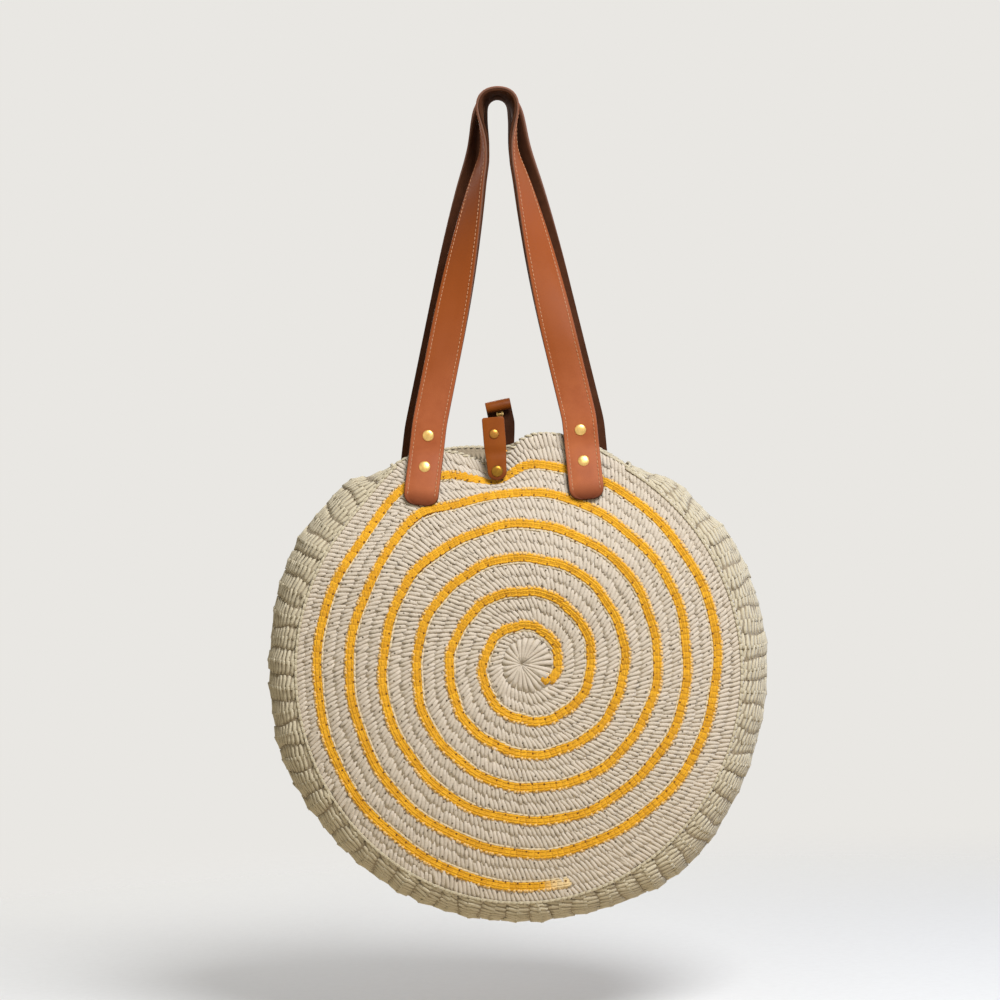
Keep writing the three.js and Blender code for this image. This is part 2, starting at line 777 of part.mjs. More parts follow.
const [front, rear] = sides;
const frontTab = tabPlan(front, frontTabX, frontTabWidth);
const closureStrap = tabPlan(rear, closureStrapX, closureStrapWidth);
const socket = { name: 'snap_socket', profile: socketProfile };
const stud = { name: 'snap_stud', profile: studProfile };
const tabPins = [
  addTab(frontTab, 'front_tab', frontTabLength, 0, frontSnapRise, socket),
  addTab(closureStrap, 'closure_strap', closureStrapLength, curlTurn, closureSnapRise, stud),
];

sides.forEach((side, i) => {
  const panelPins = [...addHandle(side), tabPins[i]];
  addPiece(`${side.name}_panel`, withHoles(panelGeometry(side), panelPins), 'yarn');
  addPiece(`${side.name}_spiral_row`, rowGeometry(side), 'contrast');
  addPiece(`${side.name}_seam`, seamGeometry(side), 'yarn');
});
addPiece('side_band', bandGeometry(), 'yarn');

export default bag;
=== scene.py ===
# %% [markdown]
# A round crochet tote bag, hanging by two leather handles.
# The imported model gives the frame: every solid is already in its place, in metres. The solids are
# smooth and could only be painted to look like crochet. So the steps below put in their place what
# the real bag shows, as real shapes: yarn stitches, leather, suede and brass.
# The box of the imported model is kept.

# %% Load the imported model
import json
import math
from collections import namedtuple

import bmesh
import bpy
import numpy as np
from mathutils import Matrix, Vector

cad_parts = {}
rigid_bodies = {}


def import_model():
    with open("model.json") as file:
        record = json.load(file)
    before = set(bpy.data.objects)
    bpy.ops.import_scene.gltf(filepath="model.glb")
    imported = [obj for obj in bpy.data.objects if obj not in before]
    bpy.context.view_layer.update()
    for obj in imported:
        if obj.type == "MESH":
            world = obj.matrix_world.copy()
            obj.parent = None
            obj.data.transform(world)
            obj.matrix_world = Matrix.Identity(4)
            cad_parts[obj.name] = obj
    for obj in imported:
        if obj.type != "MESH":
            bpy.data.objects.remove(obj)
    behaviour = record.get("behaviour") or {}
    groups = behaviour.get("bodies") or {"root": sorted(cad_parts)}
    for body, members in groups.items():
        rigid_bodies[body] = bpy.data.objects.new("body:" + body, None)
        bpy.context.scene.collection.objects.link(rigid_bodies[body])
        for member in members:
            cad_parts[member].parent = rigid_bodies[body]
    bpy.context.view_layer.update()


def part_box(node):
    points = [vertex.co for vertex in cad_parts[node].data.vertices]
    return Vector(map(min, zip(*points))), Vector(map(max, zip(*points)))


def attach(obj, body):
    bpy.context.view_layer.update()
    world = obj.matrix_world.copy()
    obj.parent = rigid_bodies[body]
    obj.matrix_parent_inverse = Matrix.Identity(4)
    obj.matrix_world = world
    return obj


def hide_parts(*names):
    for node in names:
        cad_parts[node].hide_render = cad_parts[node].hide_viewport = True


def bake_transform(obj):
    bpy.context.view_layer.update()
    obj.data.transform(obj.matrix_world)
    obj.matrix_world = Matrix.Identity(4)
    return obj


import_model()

# %% [markdown]
# Every material and every Geometry Nodes tree below is a set of linked nodes. They could be drawn
# by hand in the node editor, but a script gives the same nodes on each run.
# One small function adds a node: settings become its properties, and an input is either
# a plain value or the output socket that feeds it.
# Colours are written as sRGB hex values, as a paint chart gives them, and made linear here.

# %% Nodes and colours
MM = 0.001


def linear(hex_text):
    channels = [int(hex_text[i:i + 2], 16) / 255 for i in (1, 3, 5)]
    bright = [c / 12.92 if c <= 0.04045 else ((c + 0.055) / 1.055) ** 2.4 for c in channels]
    return (*bright, 1.0)


def add_node(tree, kind, inputs=None, **settings):
    node = tree.nodes.new(kind)
    for name, value in settings.items():
        setattr(node, name, value)
    for name, value in (inputs or {}).items():
        if isinstance(value, bpy.types.NodeSocket):
            tree.links.new(value, node.inputs[name])
        else:
            node.inputs[name].default_value = value
    return node


def new_material(name):
    material = bpy.data.materials.new(name)
    material.use_nodes = True
    return material, material.node_tree, material.node_tree.nodes["Principled BSDF"]


print("cream yarn in linear light:", [round(c, 3) for c in linear("#dacbb8")])

# %% [markdown]
# The grooves also darken the yarn's colour, which is painted shade.
# The yarn is matt cotton, plied from several threads, in cream and in sunflower yellow.
# Up close each strand shows the slanted grooves between its plies. A picture of yarn could be
# wrapped on, but it would stretch on long stitches. So the strands carry their own UV map,
# in millimetres along the strand and turns around it, and the grooves follow each stitch.
# Every stitch also carries a random tone, because hand-worked yarn never catches the light evenly.

# %% Cotton yarn
PLY_PITCH = 2.4  # along the strand, for one turn of its plies
FUZZ_SIZE = 1.6  # loose fibres are finer, and are drawn this coarse so that they show


def cotton_yarn(name, bright, shaded, uneven=0.3, fade_to=None):
    # Spun cotton: no gloss, a soft sheen of loose fibres, and grooves between the plies, where painted shade
    # darkens the colour.
    material, tree, shader = new_material(name)
    place = add_node(tree, "ShaderNodeTexCoord")
    strand = add_node(tree, "ShaderNodeSeparateXYZ", {0: place.outputs["UV"]})
    wound = add_node(
        tree, "ShaderNodeMath", {0: strand.outputs["X"], 1: 1 / PLY_PITCH, 2: strand.outputs["Y"]},
        operation="MULTIPLY_ADD",
    )
    groove = add_node(tree, "ShaderNodeMath", {0: wound.outputs[0], 1: 0.5}, operation="PINGPONG")
    fuzz = add_node(
        tree, "ShaderNodeTexNoise",
        {"Vector": place.outputs["Object"], "Scale": 1 / (FUZZ_SIZE * MM), "Detail": 3.0, "Roughness": 0.7},
    )
    tone = add_node(tree, "ShaderNodeAttribute", attribute_name="tone")
    worn = add_node(
        tree, "ShaderNodeMath", {0: tone.outputs["Fac"], 1: uneven, 2: 0.4 - uneven / 2},
        operation="MULTIPLY_ADD",
    )
    # Painted shade: the ply grooves pull the colour towards the shaded one, on top of the random tone and
    # fuzz.
    plied = add_node(
        tree, "ShaderNodeMath", {0: groove.outputs[0], 1: 0.3, 2: worn.outputs[0]},
        operation="MULTIPLY_ADD",
    )
    shade = add_node(
        tree, "ShaderNodeMath", {0: fuzz.outputs["Fac"], 1: 0.35, 2: plied.outputs[0]},
        operation="MULTIPLY_ADD", use_clamp=True,
    )
    shade_and_tone = add_node(
        tree, "ShaderNodeMix", {"Factor": shade.outputs[0], "A": linear(shaded), "B": linear(bright)},
        data_type="RGBA",
    )
    colour = shade_and_tone.outputs["Result"]
    if fade_to:
        fade = add_node(tree, "ShaderNodeAttribute", attribute_name="fade")
        paler = add_node(
            tree, "ShaderNodeMix", {"Factor": fade.outputs["Fac"], "A": colour, "B": linear(fade_to)},
            data_type="RGBA",
        )
        colour = paler.outputs["Result"]
    relief = add_node(
        tree, "ShaderNodeMath", {0: fuzz.outputs["Fac"], 1: 0.5, 2: groove.outputs[0]},
        operation="MULTIPLY_ADD",
    )
    bump = add_node(
        tree, "ShaderNodeBump", {"Strength": 0.3, "Distance": 0.4 * MM, "Height": relief.outputs[0]},
    )
    tree.links.new(colour, shader.inputs["Base Color"])
    tree.links.new(bump.outputs["Normal"], shader.inputs["Normal"])
    shader.inputs["Roughness"].default_value = 0.92
    shader.inputs["Specular IOR Level"].default_value = 0.25
    shader.inputs["Sheen Weight"].default_value = 0.15
    shader.inputs["Sheen Roughness"].default_value = 0.6
    return material


cream_yarn = cotton_yarn("cream_cotton_yarn", "#dacbb8", "#c6b8a2")
chain_yarn = cotton_yarn("cream_cotton_chain", "#ecd8b2", "#dac49c")
# Painted shade: the side band, its seams and the mouth edging take a darker, warmer copy of the cream yarn,
# for cloth that turns away from the key light or lies in the mouth.
band_shade_yarn = cotton_yarn("cream_cotton_band", "#d8cbae", "#b8a98a")
yellow_yarn = cotton_yarn("yellow_cotton_yarn", "#f4b424", "#cc8a0c", 0.45, fade_to="#f0dcb0")
# Painted shade: the dark colours of the plugs that stand for the shadow in open holes.
hole_shade_yarn = cotton_yarn("cream_cotton_hole", "#7d6f58", "#5a4d3a")
brown_hole_shade_yarn = cotton_yarn("yellow_cotton_hole", "#8a5410", "#5f3806")
print("yarns:", cream_yarn.name, chain_yarn.name, yellow_yarn.name)

# %% [markdown]
# Between the stitches the eye falls on the cloth behind them: the same yarn, in shade. The cores' colours
# paint light and shade there: the cream core is lighter than its yarn, which is painted light that softens
# the shade in the gaps, while the yellow core and the shaded cloth are darker, which is painted shade.
# The panels and the side band therefore get a closed core, a little thinner than the cloth, that
# the stitches lie on. Stitches on both faces of the cloth would close it too, but with twice as many
# faces, most of them unseen. Seen from inside the bag the core shows the backs of the rows,
# so its UV map counts stitches along a row and rows outwards, and a bump draws them.

# %% The cloth behind the stitches
CLOTH_FUZZ = 2.5  # patches of worn fibre, drawn coarser than life so that they show


def cloth_core(name, bright, shaded):
    # Cotton cloth in shade: dull, with the ridges of stitch after stitch and a dip between rows. The colour
    # darkens in the dips and where stitches meet, which is painted shade.
    material, tree, shader = new_material(name)
    place = add_node(tree, "ShaderNodeTexCoord")
    counted = add_node(tree, "ShaderNodeSeparateXYZ", {0: place.outputs["UV"]})
    stitch = add_node(tree, "ShaderNodeMath", {0: counted.outputs["X"], 1: 0.5}, operation="PINGPONG")
    row = add_node(tree, "ShaderNodeMath", {0: counted.outputs["Y"], 1: 0.5}, operation="PINGPONG")
    dip = add_node(
        tree, "ShaderNodeMath", {0: row.outputs[0], 1: 4.0}, operation="MULTIPLY", use_clamp=True,
    )
    ridge = add_node(
        tree, "ShaderNodeMath", {0: stitch.outputs[0], 1: 2.0}, operation="MULTIPLY", use_clamp=True,
    )
    relief = add_node(
        tree, "ShaderNodeMath", {0: ridge.outputs[0], 1: dip.outputs[0]}, operation="MULTIPLY",
    )
    fuzz = add_node(
        tree, "ShaderNodeTexNoise",
        {"Vector": place.outputs["Object"], "Scale": 1 / (CLOTH_FUZZ * MM), "Detail": 3.0},
    )
    # Painted shade: dips between rows and stitches take the shaded colour, and noise of worn fibre darkens it
    # in patches.
    shade = add_node(
        tree, "ShaderNodeMath", {0: relief.outputs[0], 1: fuzz.outputs["Fac"]}, operation="MULTIPLY",
    )
    shade_and_tone = add_node(
        tree, "ShaderNodeMix", {"Factor": shade.outputs[0], "A": linear(shaded), "B": linear(bright)},
        data_type="RGBA",
    )
    bump = add_node(
        tree, "ShaderNodeBump", {"Strength": 0.8, "Distance": 1.5 * MM, "Height": relief.outputs[0]},
    )
    tree.links.new(shade_and_tone.outputs["Result"], shader.inputs["Base Color"])
    tree.links.new(bump.outputs["Normal"], shader.inputs["Normal"])
    shader.inputs["Roughness"].default_value = 0.95
    shader.inputs["Specular IOR Level"].default_value = 0.2
    return material


# Painted light: the cream core is lighter than the cream yarn, to soften the shade between the stitches.
lightened_cream_cloth = cloth_core("cream_cotton_cloth", "#eaddc8", "#d6c8b0")
# Painted shade: the yellow core is a darker copy of the yellow yarn.
yellow_shade_cloth = cloth_core("yellow_cotton_cloth", "#e39a18", "#bd760c")
# Painted shade: a darker copy of the cloth, for the inside of the panels and the core of the side band.
shaded_cloth = cloth_core("shaded_cotton_cloth", "#c2b296", "#a09078")
print("cloths:", lightened_cream_cloth.name, yellow_shade_cloth.name, shaded_cloth.name)

# %% [markdown]
# The shape of the bag follows the same rule as its solids, in millimetres. Only the folds near
# the mouth and the handles follow the hanging cloth a little more closely than the solids do.
# A panel is a round cloth, flat in the middle, whose top edge is drawn in at the mouth,
# sags where the closure hangs on it and rises where the handles pull.
# It could be sculpted, or dropped in a cloth simulation, but a rule can be asked for any point.
# A point of a panel is found from its place on the flat round cloth, so each stitch can be
# planned on the flat and then laid on the hanging bag.

# %% Sizes of the panels
PANEL_HALF_WIDTH = 180.0
PANEL_HALF_HEIGHT = 187.0
CENTRE_Z = -(283.0 + PANEL_HALF_HEIGHT)
FLAT_SHARE = 60.0 / PANEL_HALF_WIDTH  # the middle of a panel is flat out to here
CLOTH = 5.0  # thickness
HALF_DEPTH = 45.0  # from the middle of the bag to the rim of a panel
CROWN = 12.0  # how far the middle stands out past the rim
MOUTH_FADE = math.radians(62)  # from the top, where the drawing in at the mouth ends
MOUTH_HALF = math.radians(32)  # from the top to each end of the mouth
MOUTH_DRAW = 20.0  # how far the edge is drawn in there
CORE_LIFT = -0.9  # the outside of the core, under the stitches
DIP_REACH = 52.0  # the dip below the closure fades out this far below the edge
DRAWN_UP_FROM, DRAWN_UP_TO = -0.15, 0.3  # shares of the half height, over which the drawing up sets in
HELD_FROM, HELD_TO = 0.65, 0.95  # shares of the way to the rim, over which it ends again
TIP_PULL_WIDTH = 24.0
TIP_PULL_SHARE = 0.78  # how far out a handle's tip lies on the panel
TIP_PULL_SPREAD = 0.13

Lift = namedtuple("Lift", "x rise width reach")
Side = namedtuple(
    "Side",
    "name sign dip dip_left dip_right closure_x lifts legs neck_half twist_start arch_twist "
    "flex_z tip_depth flex_depth drawn_up tip_pull",
)
FRONT = Side(
    name="front", sign=-1, dip=21.0, dip_left=26.0, dip_right=18.0, closure_x=-13.0,
    lifts=(
        Lift(x=-90.0, rise=9.0, width=25.0, reach=110.0),
        Lift(x=40.0, rise=6.0, width=35.0, reach=16.0),
    ),
    legs=(-74.5, 60.5), neck_half=11.5,
    twist_start=210.0, arch_twist=105.0, flex_z=-267.79, tip_depth=41.79, flex_depth=30.85,
    drawn_up=4.0, tip_pull=6.0,
)
REAR = Side(
    name="rear", sign=1, dip=6.0, dip_left=30.0, dip_right=18.0, closure_x=-6.0,
    lifts=(
        Lift(x=-83.0, rise=6.0, width=35.0, reach=16.0),
        Lift(x=69.0, rise=6.0, width=35.0, reach=16.0),
    ),
    legs=(-83.0, 69.0), neck_half=17.0,
    twist_start=170.0, arch_twist=78.0, flex_z=-270.68, tip_depth=42.05, flex_depth=31.63,
    drawn_up=0.0, tip_pull=0.0,
)
SIDES = (FRONT, REAR)
print("dip of each mouth edge:", {side.name: side.dip for side in SIDES})


# %% A place on a panel
def smoothstep(x, low, high):
    t = min(max((x - low) / (high - low), 0.0), 1.0)
    return t * t * (3 - 2 * t)


def bump_at(x, middle, width):
    return math.exp(-(((x - middle) / width) ** 2))


def mouth_pull(angle):
    return smoothstep(math.cos(angle), math.cos(MOUTH_FADE), 1)


def rim_depth(angle):
    return HALF_DEPTH - MOUTH_DRAW * mouth_pull(angle)


def sag(side, x, share, angle):
    # The cloth of the upper half is drawn up, most of all below the tip of the left handle end.
    up = share * math.cos(angle)
    set_in = smoothstep(up, DRAWN_UP_FROM, DRAWN_UP_TO)
    moved = -side.drawn_up * set_in * (1 - smoothstep(share, HELD_FROM, HELD_TO))
    if up <= 0:
        return moved
    below_tip = bump_at(x, side.legs[0], TIP_PULL_WIDTH)
    moved -= side.tip_pull * below_tip * bump_at(share, TIP_PULL_SHARE, TIP_PULL_SPREAD)
    spread = side.dip_left if x < side.closure_x else side.dip_right
    near_edge = smoothstep(share, 1 - DIP_REACH / PANEL_HALF_HEIGHT, 1)
    moved += side.dip * bump_at(x, side.closure_x, spread) * near_edge
    for lift in side.lifts:
        drawn = smoothstep(share, 1 - lift.reach / PANEL_HALF_HEIGHT, 1)
        moved -= lift.rise * bump_at(x, lift.x, lift.width) * drawn
    return moved


def on_panel(side, x, z, lift):
    # x and z are the place on the flat round cloth; lift moves the point out of the cloth.
    across, up = x / PANEL_HALF_WIDTH, (z - CENTRE_Z) / PANEL_HALF_HEIGHT
    share, angle = math.hypot(across, up), math.atan2(across, up)
    outer = max(0.0, (share - FLAT_SHARE) / (1 - FLAT_SHARE))
    drawn = MOUTH_DRAW * mouth_pull(angle) * smoothstep(share, FLAT_SHARE, 1)
    depth = HALF_DEPTH + CROWN * (1 - outer ** 2) - drawn
    return np.array([x, side.sign * (depth + lift), z - sag(side, x, share, angle)])


def rim_place(share, angle):
    return (
        PANEL_HALF_WIDTH * share * math.sin(angle),
        CENTRE_Z + PANEL_HALF_HEIGHT * share * math.cos(angle),
    )


def unit(vector):
    return vector / np.linalg.norm(vector)


def panel_out(side, x, z):
    # Differences towards the middle stay on the cloth at the rim too.
    step_x = -1.0 if x > 0 else 1.0
    step_z = -1.0 if z > CENTRE_Z else 1.0
    here = on_panel(side, x, z, 0)
    along_x = (on_panel(side, x + step_x, z, 0) - here) / step_x
    along_z = (on_panel(side, x, z + step_z, 0) - here) / step_z
    return unit(np.cross(along_x, along_z) * -side.sign)


print("middle of the front panel:", on_panel(FRONT, 0, CENTRE_Z, 0))

# %% [markdown]
# A helper makes a mesh piece from points in millimetres. Closed skins over rows of rings give the
# cores, the straps and the tabs. Bevelled curves could give the straps as well, but rings let width,
# thickness and the marks of a cut edge change along the way. The helper turns all faces outwards.

# %% Meshes from rings of points
def make_piece(name, points, faces, materials, uv=None, values=None, slots=None):
    mesh = bpy.data.meshes.new(name)
    mesh.from_pydata([tuple(p * MM) for p in points], [], faces)
    for material in materials:
        mesh.materials.append(material)
    if slots is not None:
        mesh.polygons.foreach_set("material_index", slots)
    if uv is not None:
        layer = mesh.uv_layers.new(name="UVMap")
        layer.data.foreach_set("uv", np.array(uv, dtype=np.float32).ravel())
    for label, numbers in (values or {}).items():
        mesh.attributes.new(label, "FLOAT", "POINT").data.foreach_set("value", numbers)
    editable = bmesh.new()
    editable.from_mesh(mesh)
    bmesh.ops.recalc_face_normals(editable, faces=editable.faces)
    editable.to_mesh(mesh)
    editable.free()
    mesh.shade_smooth()
    piece = bpy.data.objects.new(name, mesh)
    bpy.context.scene.collection.objects.link(piece)
    return piece


def ring_faces(ring_count, ring_size):
    # Quads between neighbouring rings.
    faces = []
    for r in range(ring_count - 1):
        low, high = r * ring_size, (r + 1) * ring_size
        for i in range(ring_size):
            j = (i + 1) % ring_size
            faces.append((low + i, low + j, high + j, high + i))
    return faces


def end_lids(ring_count, ring_size):
    last = (ring_count - 1) * ring_size
    return [tuple(range(ring_size)), tuple(range(last, last + ring_size))]


print("faces of a skin over three rings of four points:", len(ring_faces(3, 4) + end_lids(3, 4)))


# %% The cores of the panels
STITCH_PITCH = 3.6  # one stitch of the cream rows
RIBBON_WIDTH = 17.7  # about the width of the cream cloth between two yellow rows
HUB_SHARE = 0.02  # the innermost ring of a core is this small, and a lid closes it


def panel_core(side, ring_count=22, spokes=150):
    shares = [HUB_SHARE + (1 - HUB_SHARE) * (i / (ring_count - 1)) for i in range(ring_count)]
    layers = [(s, CORE_LIFT) for s in shares] + [(s, -CLOTH) for s in reversed(shares)]
    angles = [2 * math.pi * i / spokes for i in range(spokes)]
    points = []
    for share, lift in layers:
        points += [on_panel(side, *rim_place(share, angle), lift) for angle in angles]
    faces = ring_faces(len(layers), spokes)
    uv = []
    for index, face in enumerate(faces):
        middle = shares[min(index // spokes, 2 * ring_count - 2 - index // spokes, ring_count - 1)]
        stitches = round(2 * math.pi * middle * PANEL_HALF_WIDTH / STITCH_PITCH)
        first = index % spokes
        for corner, vertex in enumerate(face):
            turn = (first + (corner in (1, 2))) / spokes
            reach = layers[vertex // spokes][0] * PANEL_HALF_WIDTH
            uv.append((turn * stitches, reach / RIBBON_WIDTH))
    faces += end_lids(len(layers), spokes)
    uv += [(0, 0)] * (2 * spokes)
    # The inside of a bag lies in its own shade, so the inner faces take the darker cloth.
    slots = [1 if face[0] >= ring_count * spokes else 0 for face in faces]
    cloths = [lightened_cream_cloth, shaded_cloth]
    return make_piece(f"{side.name}_panel_cloth", points, faces, cloths, uv=uv, slots=slots)


panel_cores = {side.name: panel_core(side) for side in SIDES}
print("panel cores:", [len(core.data.polygons) for core in panel_cores.values()], "faces")

# %% [markdown]
# The real yarn is a long thread, looped on itself. Modelled so it would need far too many faces, so
# a stitch is one or more short strands, as the eye sees it from outside. Each kind is modelled once,
# in millimetres: X runs along the row, Y across it from base to top, Z out of the cloth.
# Most of the cloth is short strokes that slant from row to row, thinner at both ends.
# A chain link is the V that the hook leaves on top of a row. The yellow stitch is two links side
# by side, with short fingers that reach out into the next row.
# A dark plug is painted shade: it stands for the shadow in the small hole that stays open beside some
# stitches.

# %% Strands of yarn
NEARLY_OUT = (0.05, 0.02, 1.0)  # almost out of the cloth; no strand runs just this way


def strand_rings(path, radii, sides, flat):
    rings = []
    for i, point in enumerate(path):
        along = unit(path[min(i + 1, len(path) - 1)] - path[max(i - 1, 0)])
        side_way = unit(np.cross(along, NEARLY_OUT))
        out_way = np.cross(side_way, along)
        ring = []
        for k in range(sides):
            turn = 2 * math.pi * (k + 0.5) / sides
            ring.append(point + radii[i] * (math.cos(turn) * side_way + flat * math.sin(turn) * out_way))
        rings.append(ring)
    return rings


def make_stitch(name, strands, real_height=1.0, sides=4, flat=1.0):
    # A stitch that is stretched to its row is drawn at a usual height and kept at a height of 1.
    # Worked yarn is pressed a little flat.
    points, faces, uv = [], [], []
    for path, radii in strands:
        path = [np.array(p) * (1.0, real_height, 1.0) for p in path]
        start = len(points)
        travelled = [0.0]
        for a, b in zip(path, path[1:]):
            travelled.append(travelled[-1] + np.linalg.norm(b - a))
        for ring in strand_rings(path, radii, sides, flat):
            points += [point / (1.0, real_height, 1.0) for point in ring]
        for face_index, face in enumerate(ring_faces(len(path), sides)):
            faces.append(tuple(start + v for v in face))
            k, r = face_index % sides, face_index // sides
            uv += [
                (travelled[r], k / sides), (travelled[r], (k + 1) / sides),
                (travelled[r + 1], (k + 1) / sides), (travelled[r + 1], k / sides),
            ]
        for lid, reached in zip(end_lids(len(path), sides), (travelled[0], travelled[-1])):
            faces.append(tuple(start + v for v in lid))
            uv += [(reached, 0)] * sides
    stitch = make_piece(name, points, faces, [], uv=uv)
    print(name, "has", len(stitch.data.polygons), "faces")
    return stitch


STROKE_RADIUS = 1.85


def short_stroke():
    # A short stitch is one stroke of yarn, slanting from row to row, fullest in its middle.
    path = [(1.0 - 2.0 * s, s - 0.5, 0.25 + 0.3 * math.sin(math.pi * s)) for s in (0, 1 / 3, 2 / 3, 1)]
    return path, [share * STROKE_RADIUS for share in (0.62, 1, 1, 0.62)]


short_stitch = make_stitch("short_stitch", [short_stroke()], real_height=12, sides=6, flat=0.4)
band_stitch = make_stitch("band_stitch", [short_stroke()], real_height=12, sides=6, flat=0.48)


# %% Links, fingers and plugs
def link_strand(hand, length, half_width, height, radius):
    # One side of a chain link, from its point to the open end that the next link leaves.
    path = [
        (-0.55 * length, 0.15 * hand * half_width, height - 0.5),
        (-0.2 * length, 0.8 * hand * half_width, height),
        (0.2 * length, 0.95 * hand * half_width, height + 0.15),
        (0.6 * length, 0.35 * hand * half_width, height - 0.3),
    ]
    return path, [0.7 * radius, radius, radius, 0.75 * radius]


HANDS = (-1, 1)


def chain_link(length, half_width, height, radius, across=0.0):
    # Both sides of a link, which may lie beside the middle of its row.
    strands = []
    for hand in HANDS:
        path, radii = link_strand(hand, length, half_width, height, radius)
        strands.append(([(x, y + across, z) for x, y, z in path], radii))
    return strands


def plug(height, base_radius, top_radius):
    return [(((0, 0, 0.2), (0, 0, height)), (base_radius, top_radius))]


star_path = ((0, -0.5, 0.4), (0.2, -0.2, 0.6), (0.1, 0.2, 0.5), (0, 0.5, 0.4))
star_radii = (2.3, 2.1, 1.2, 0.5)
finger_path = ((0.1, 2.6, 0.8), (-0.1, 3.3, 0.9), (-0.3, 4.1, 0.75), (-0.5, 4.9, 0.4))
finger_radii = (1.4, 1.6, 1.4, 0.9)
star_stitch = make_stitch("star_stitch", [(star_path, star_radii)], real_height=20, sides=6, flat=0.4)
chain_stitch = make_stitch("chain_stitch", chain_link(length=5.4, half_width=0.35, height=0.7, radius=0.6))
seam_stitch = make_stitch(
    "seam_stitch", chain_link(length=5.4, half_width=0.5, height=0.4, radius=0.95), flat=0.7,
)
edge_stitch = make_stitch(
    "edge_stitch", chain_link(length=5.4, half_width=1.9, height=0.7, radius=1.5), flat=0.8,
)
yellow_stitch = make_stitch(
    "yellow_stitch",
    chain_link(length=7.0, half_width=1.1, height=0.9, radius=1.35, across=-1.6)
    + chain_link(length=7.0, half_width=1.1, height=1.0, radius=1.35, across=1.5),
    flat=0.55,
)
finger_stitch = make_stitch("finger_stitch", [(finger_path, finger_radii)], flat=0.5)
hole_plug = make_stitch("hole_plug", plug(height=1.3, base_radius=0.85, top_radius=0.75), sides=6)
yellow_plug = make_stitch("yellow_plug", plug(height=1.7, base_radius=0.9, top_radius=0.8), sides=6)

# %% [markdown]
# Rows of stitches repeat along a path, which is work for Geometry Nodes. Copies could be placed by
# a loop, but a tree keeps spacing, sway and seed as named inputs that are easy to try out.
# Python draws each row as a line of points that know which way is out of the cloth, which way is
# across the row and how tall the row is there. The tree spaces points evenly along the line and
# lays one stitch on each, with a little seeded sway, since no two stitches by hand are alike.

# %% A tree that lays stitches along a row
def new_tree(name, inputs):
    tree = bpy.data.node_groups.new(name, "GeometryNodeTree")
    tree.interface.new_socket("Geometry", in_out="INPUT", socket_type="NodeSocketGeometry")
    for label, kind in inputs.items():
        tree.interface.new_socket(label, in_out="INPUT", socket_type=kind)
    tree.interface.new_socket("Geometry", in_out="OUTPUT", socket_type="NodeSocketGeometry")
    return tree, add_node(tree, "NodeGroupInput").outputs


def finish_tree(tree, instances, material):
    real = add_node(tree, "GeometryNodeRealizeInstances", {0: instances})
    dressed = add_node(tree, "GeometryNodeSetMaterial", {"Geometry": real.outputs[0], "Material": material})
    add_node(tree, "NodeGroupOutput", {0: dressed.outputs[0]})


def point_turn(tree):
    out = add_node(tree, "GeometryNodeInputNamedAttribute", {"Name": "out"}, data_type="FLOAT_VECTOR")
    across = add_node(tree, "GeometryNodeInputNamedAttribute", {"Name": "across"}, data_type="FLOAT_VECTOR")
    return add_node(
        tree, "FunctionNodeAxesToRotation", {0: out.outputs[0], 1: across.outputs[0]},
        primary_axis="Z", secondary_axis="Y",
    )


def stitch_row_tree():
    tree, given = new_tree("stitches_along_a_row", {
        "Stitch": "NodeSocketObject", "Spacing": "NodeSocketFloat", "Sway": "NodeSocketFloat",
        "Seed": "NodeSocketInt", "Finish": "NodeSocketMaterial",
    })
    line = add_node(tree, "GeometryNodeMeshToCurve", {"Mesh": given["Geometry"]})
    even = add_node(
        tree, "GeometryNodeResampleCurve", {"Curve": line.outputs[0], "Length": given["Spacing"]},
        mode="LENGTH",
    )
    height = add_node(tree, "GeometryNodeInputNamedAttribute", {"Name": "height"}, data_type="FLOAT")
    less = add_node(tree, "ShaderNodeMath", {0: given["Sway"], 1: -1.0}, operation="MULTIPLY")
    sway = add_node(
        tree, "FunctionNodeRandomValue",
        {"Min": less.outputs[0], "Max": given["Sway"], "Seed": given["Seed"]}, data_type="FLOAT_VECTOR",
    )
    turned = add_node(
        tree, "FunctionNodeRotateRotation", {0: point_turn(tree).outputs[0], 1: sway.outputs[0]},
        rotation_space="LOCAL",
    )
    size = add_node(tree, "ShaderNodeCombineXYZ", {0: 1.0, 1: height.outputs[0], 2: 1.0})
    stitch = add_node(tree, "GeometryNodeObjectInfo", {"Object": given["Stitch"], "As Instance": True})
    laid = add_node(tree, "GeometryNodeInstanceOnPoints", {
        "Points": even.outputs[0], "Instance": stitch.outputs["Geometry"],
        "Rotation": turned.outputs[0], "Scale": size.outputs[0],
    })
    tone = add_node(tree, "FunctionNodeRandomValue", {"Seed": given["Seed"]}, data_type="FLOAT")
    toned = add_node(
        tree, "GeometryNodeStoreNamedAttribute",
        {"Geometry": laid.outputs[0], "Name": "tone", "Value": tone.outputs[1]},
        domain="INSTANCE", data_type="FLOAT",
    )
    finish_tree(tree, toned.outputs[0], given["Finish"])
    return tree


stitch_rows = stitch_row_tree()
print(stitch_rows.name, "has", len(stitch_rows.nodes), "nodes")

# %% From a row of stations to a mesh
Station = namedtuple("Station", "point out across height fade")
print("a station of a row holds:", Station._fields)


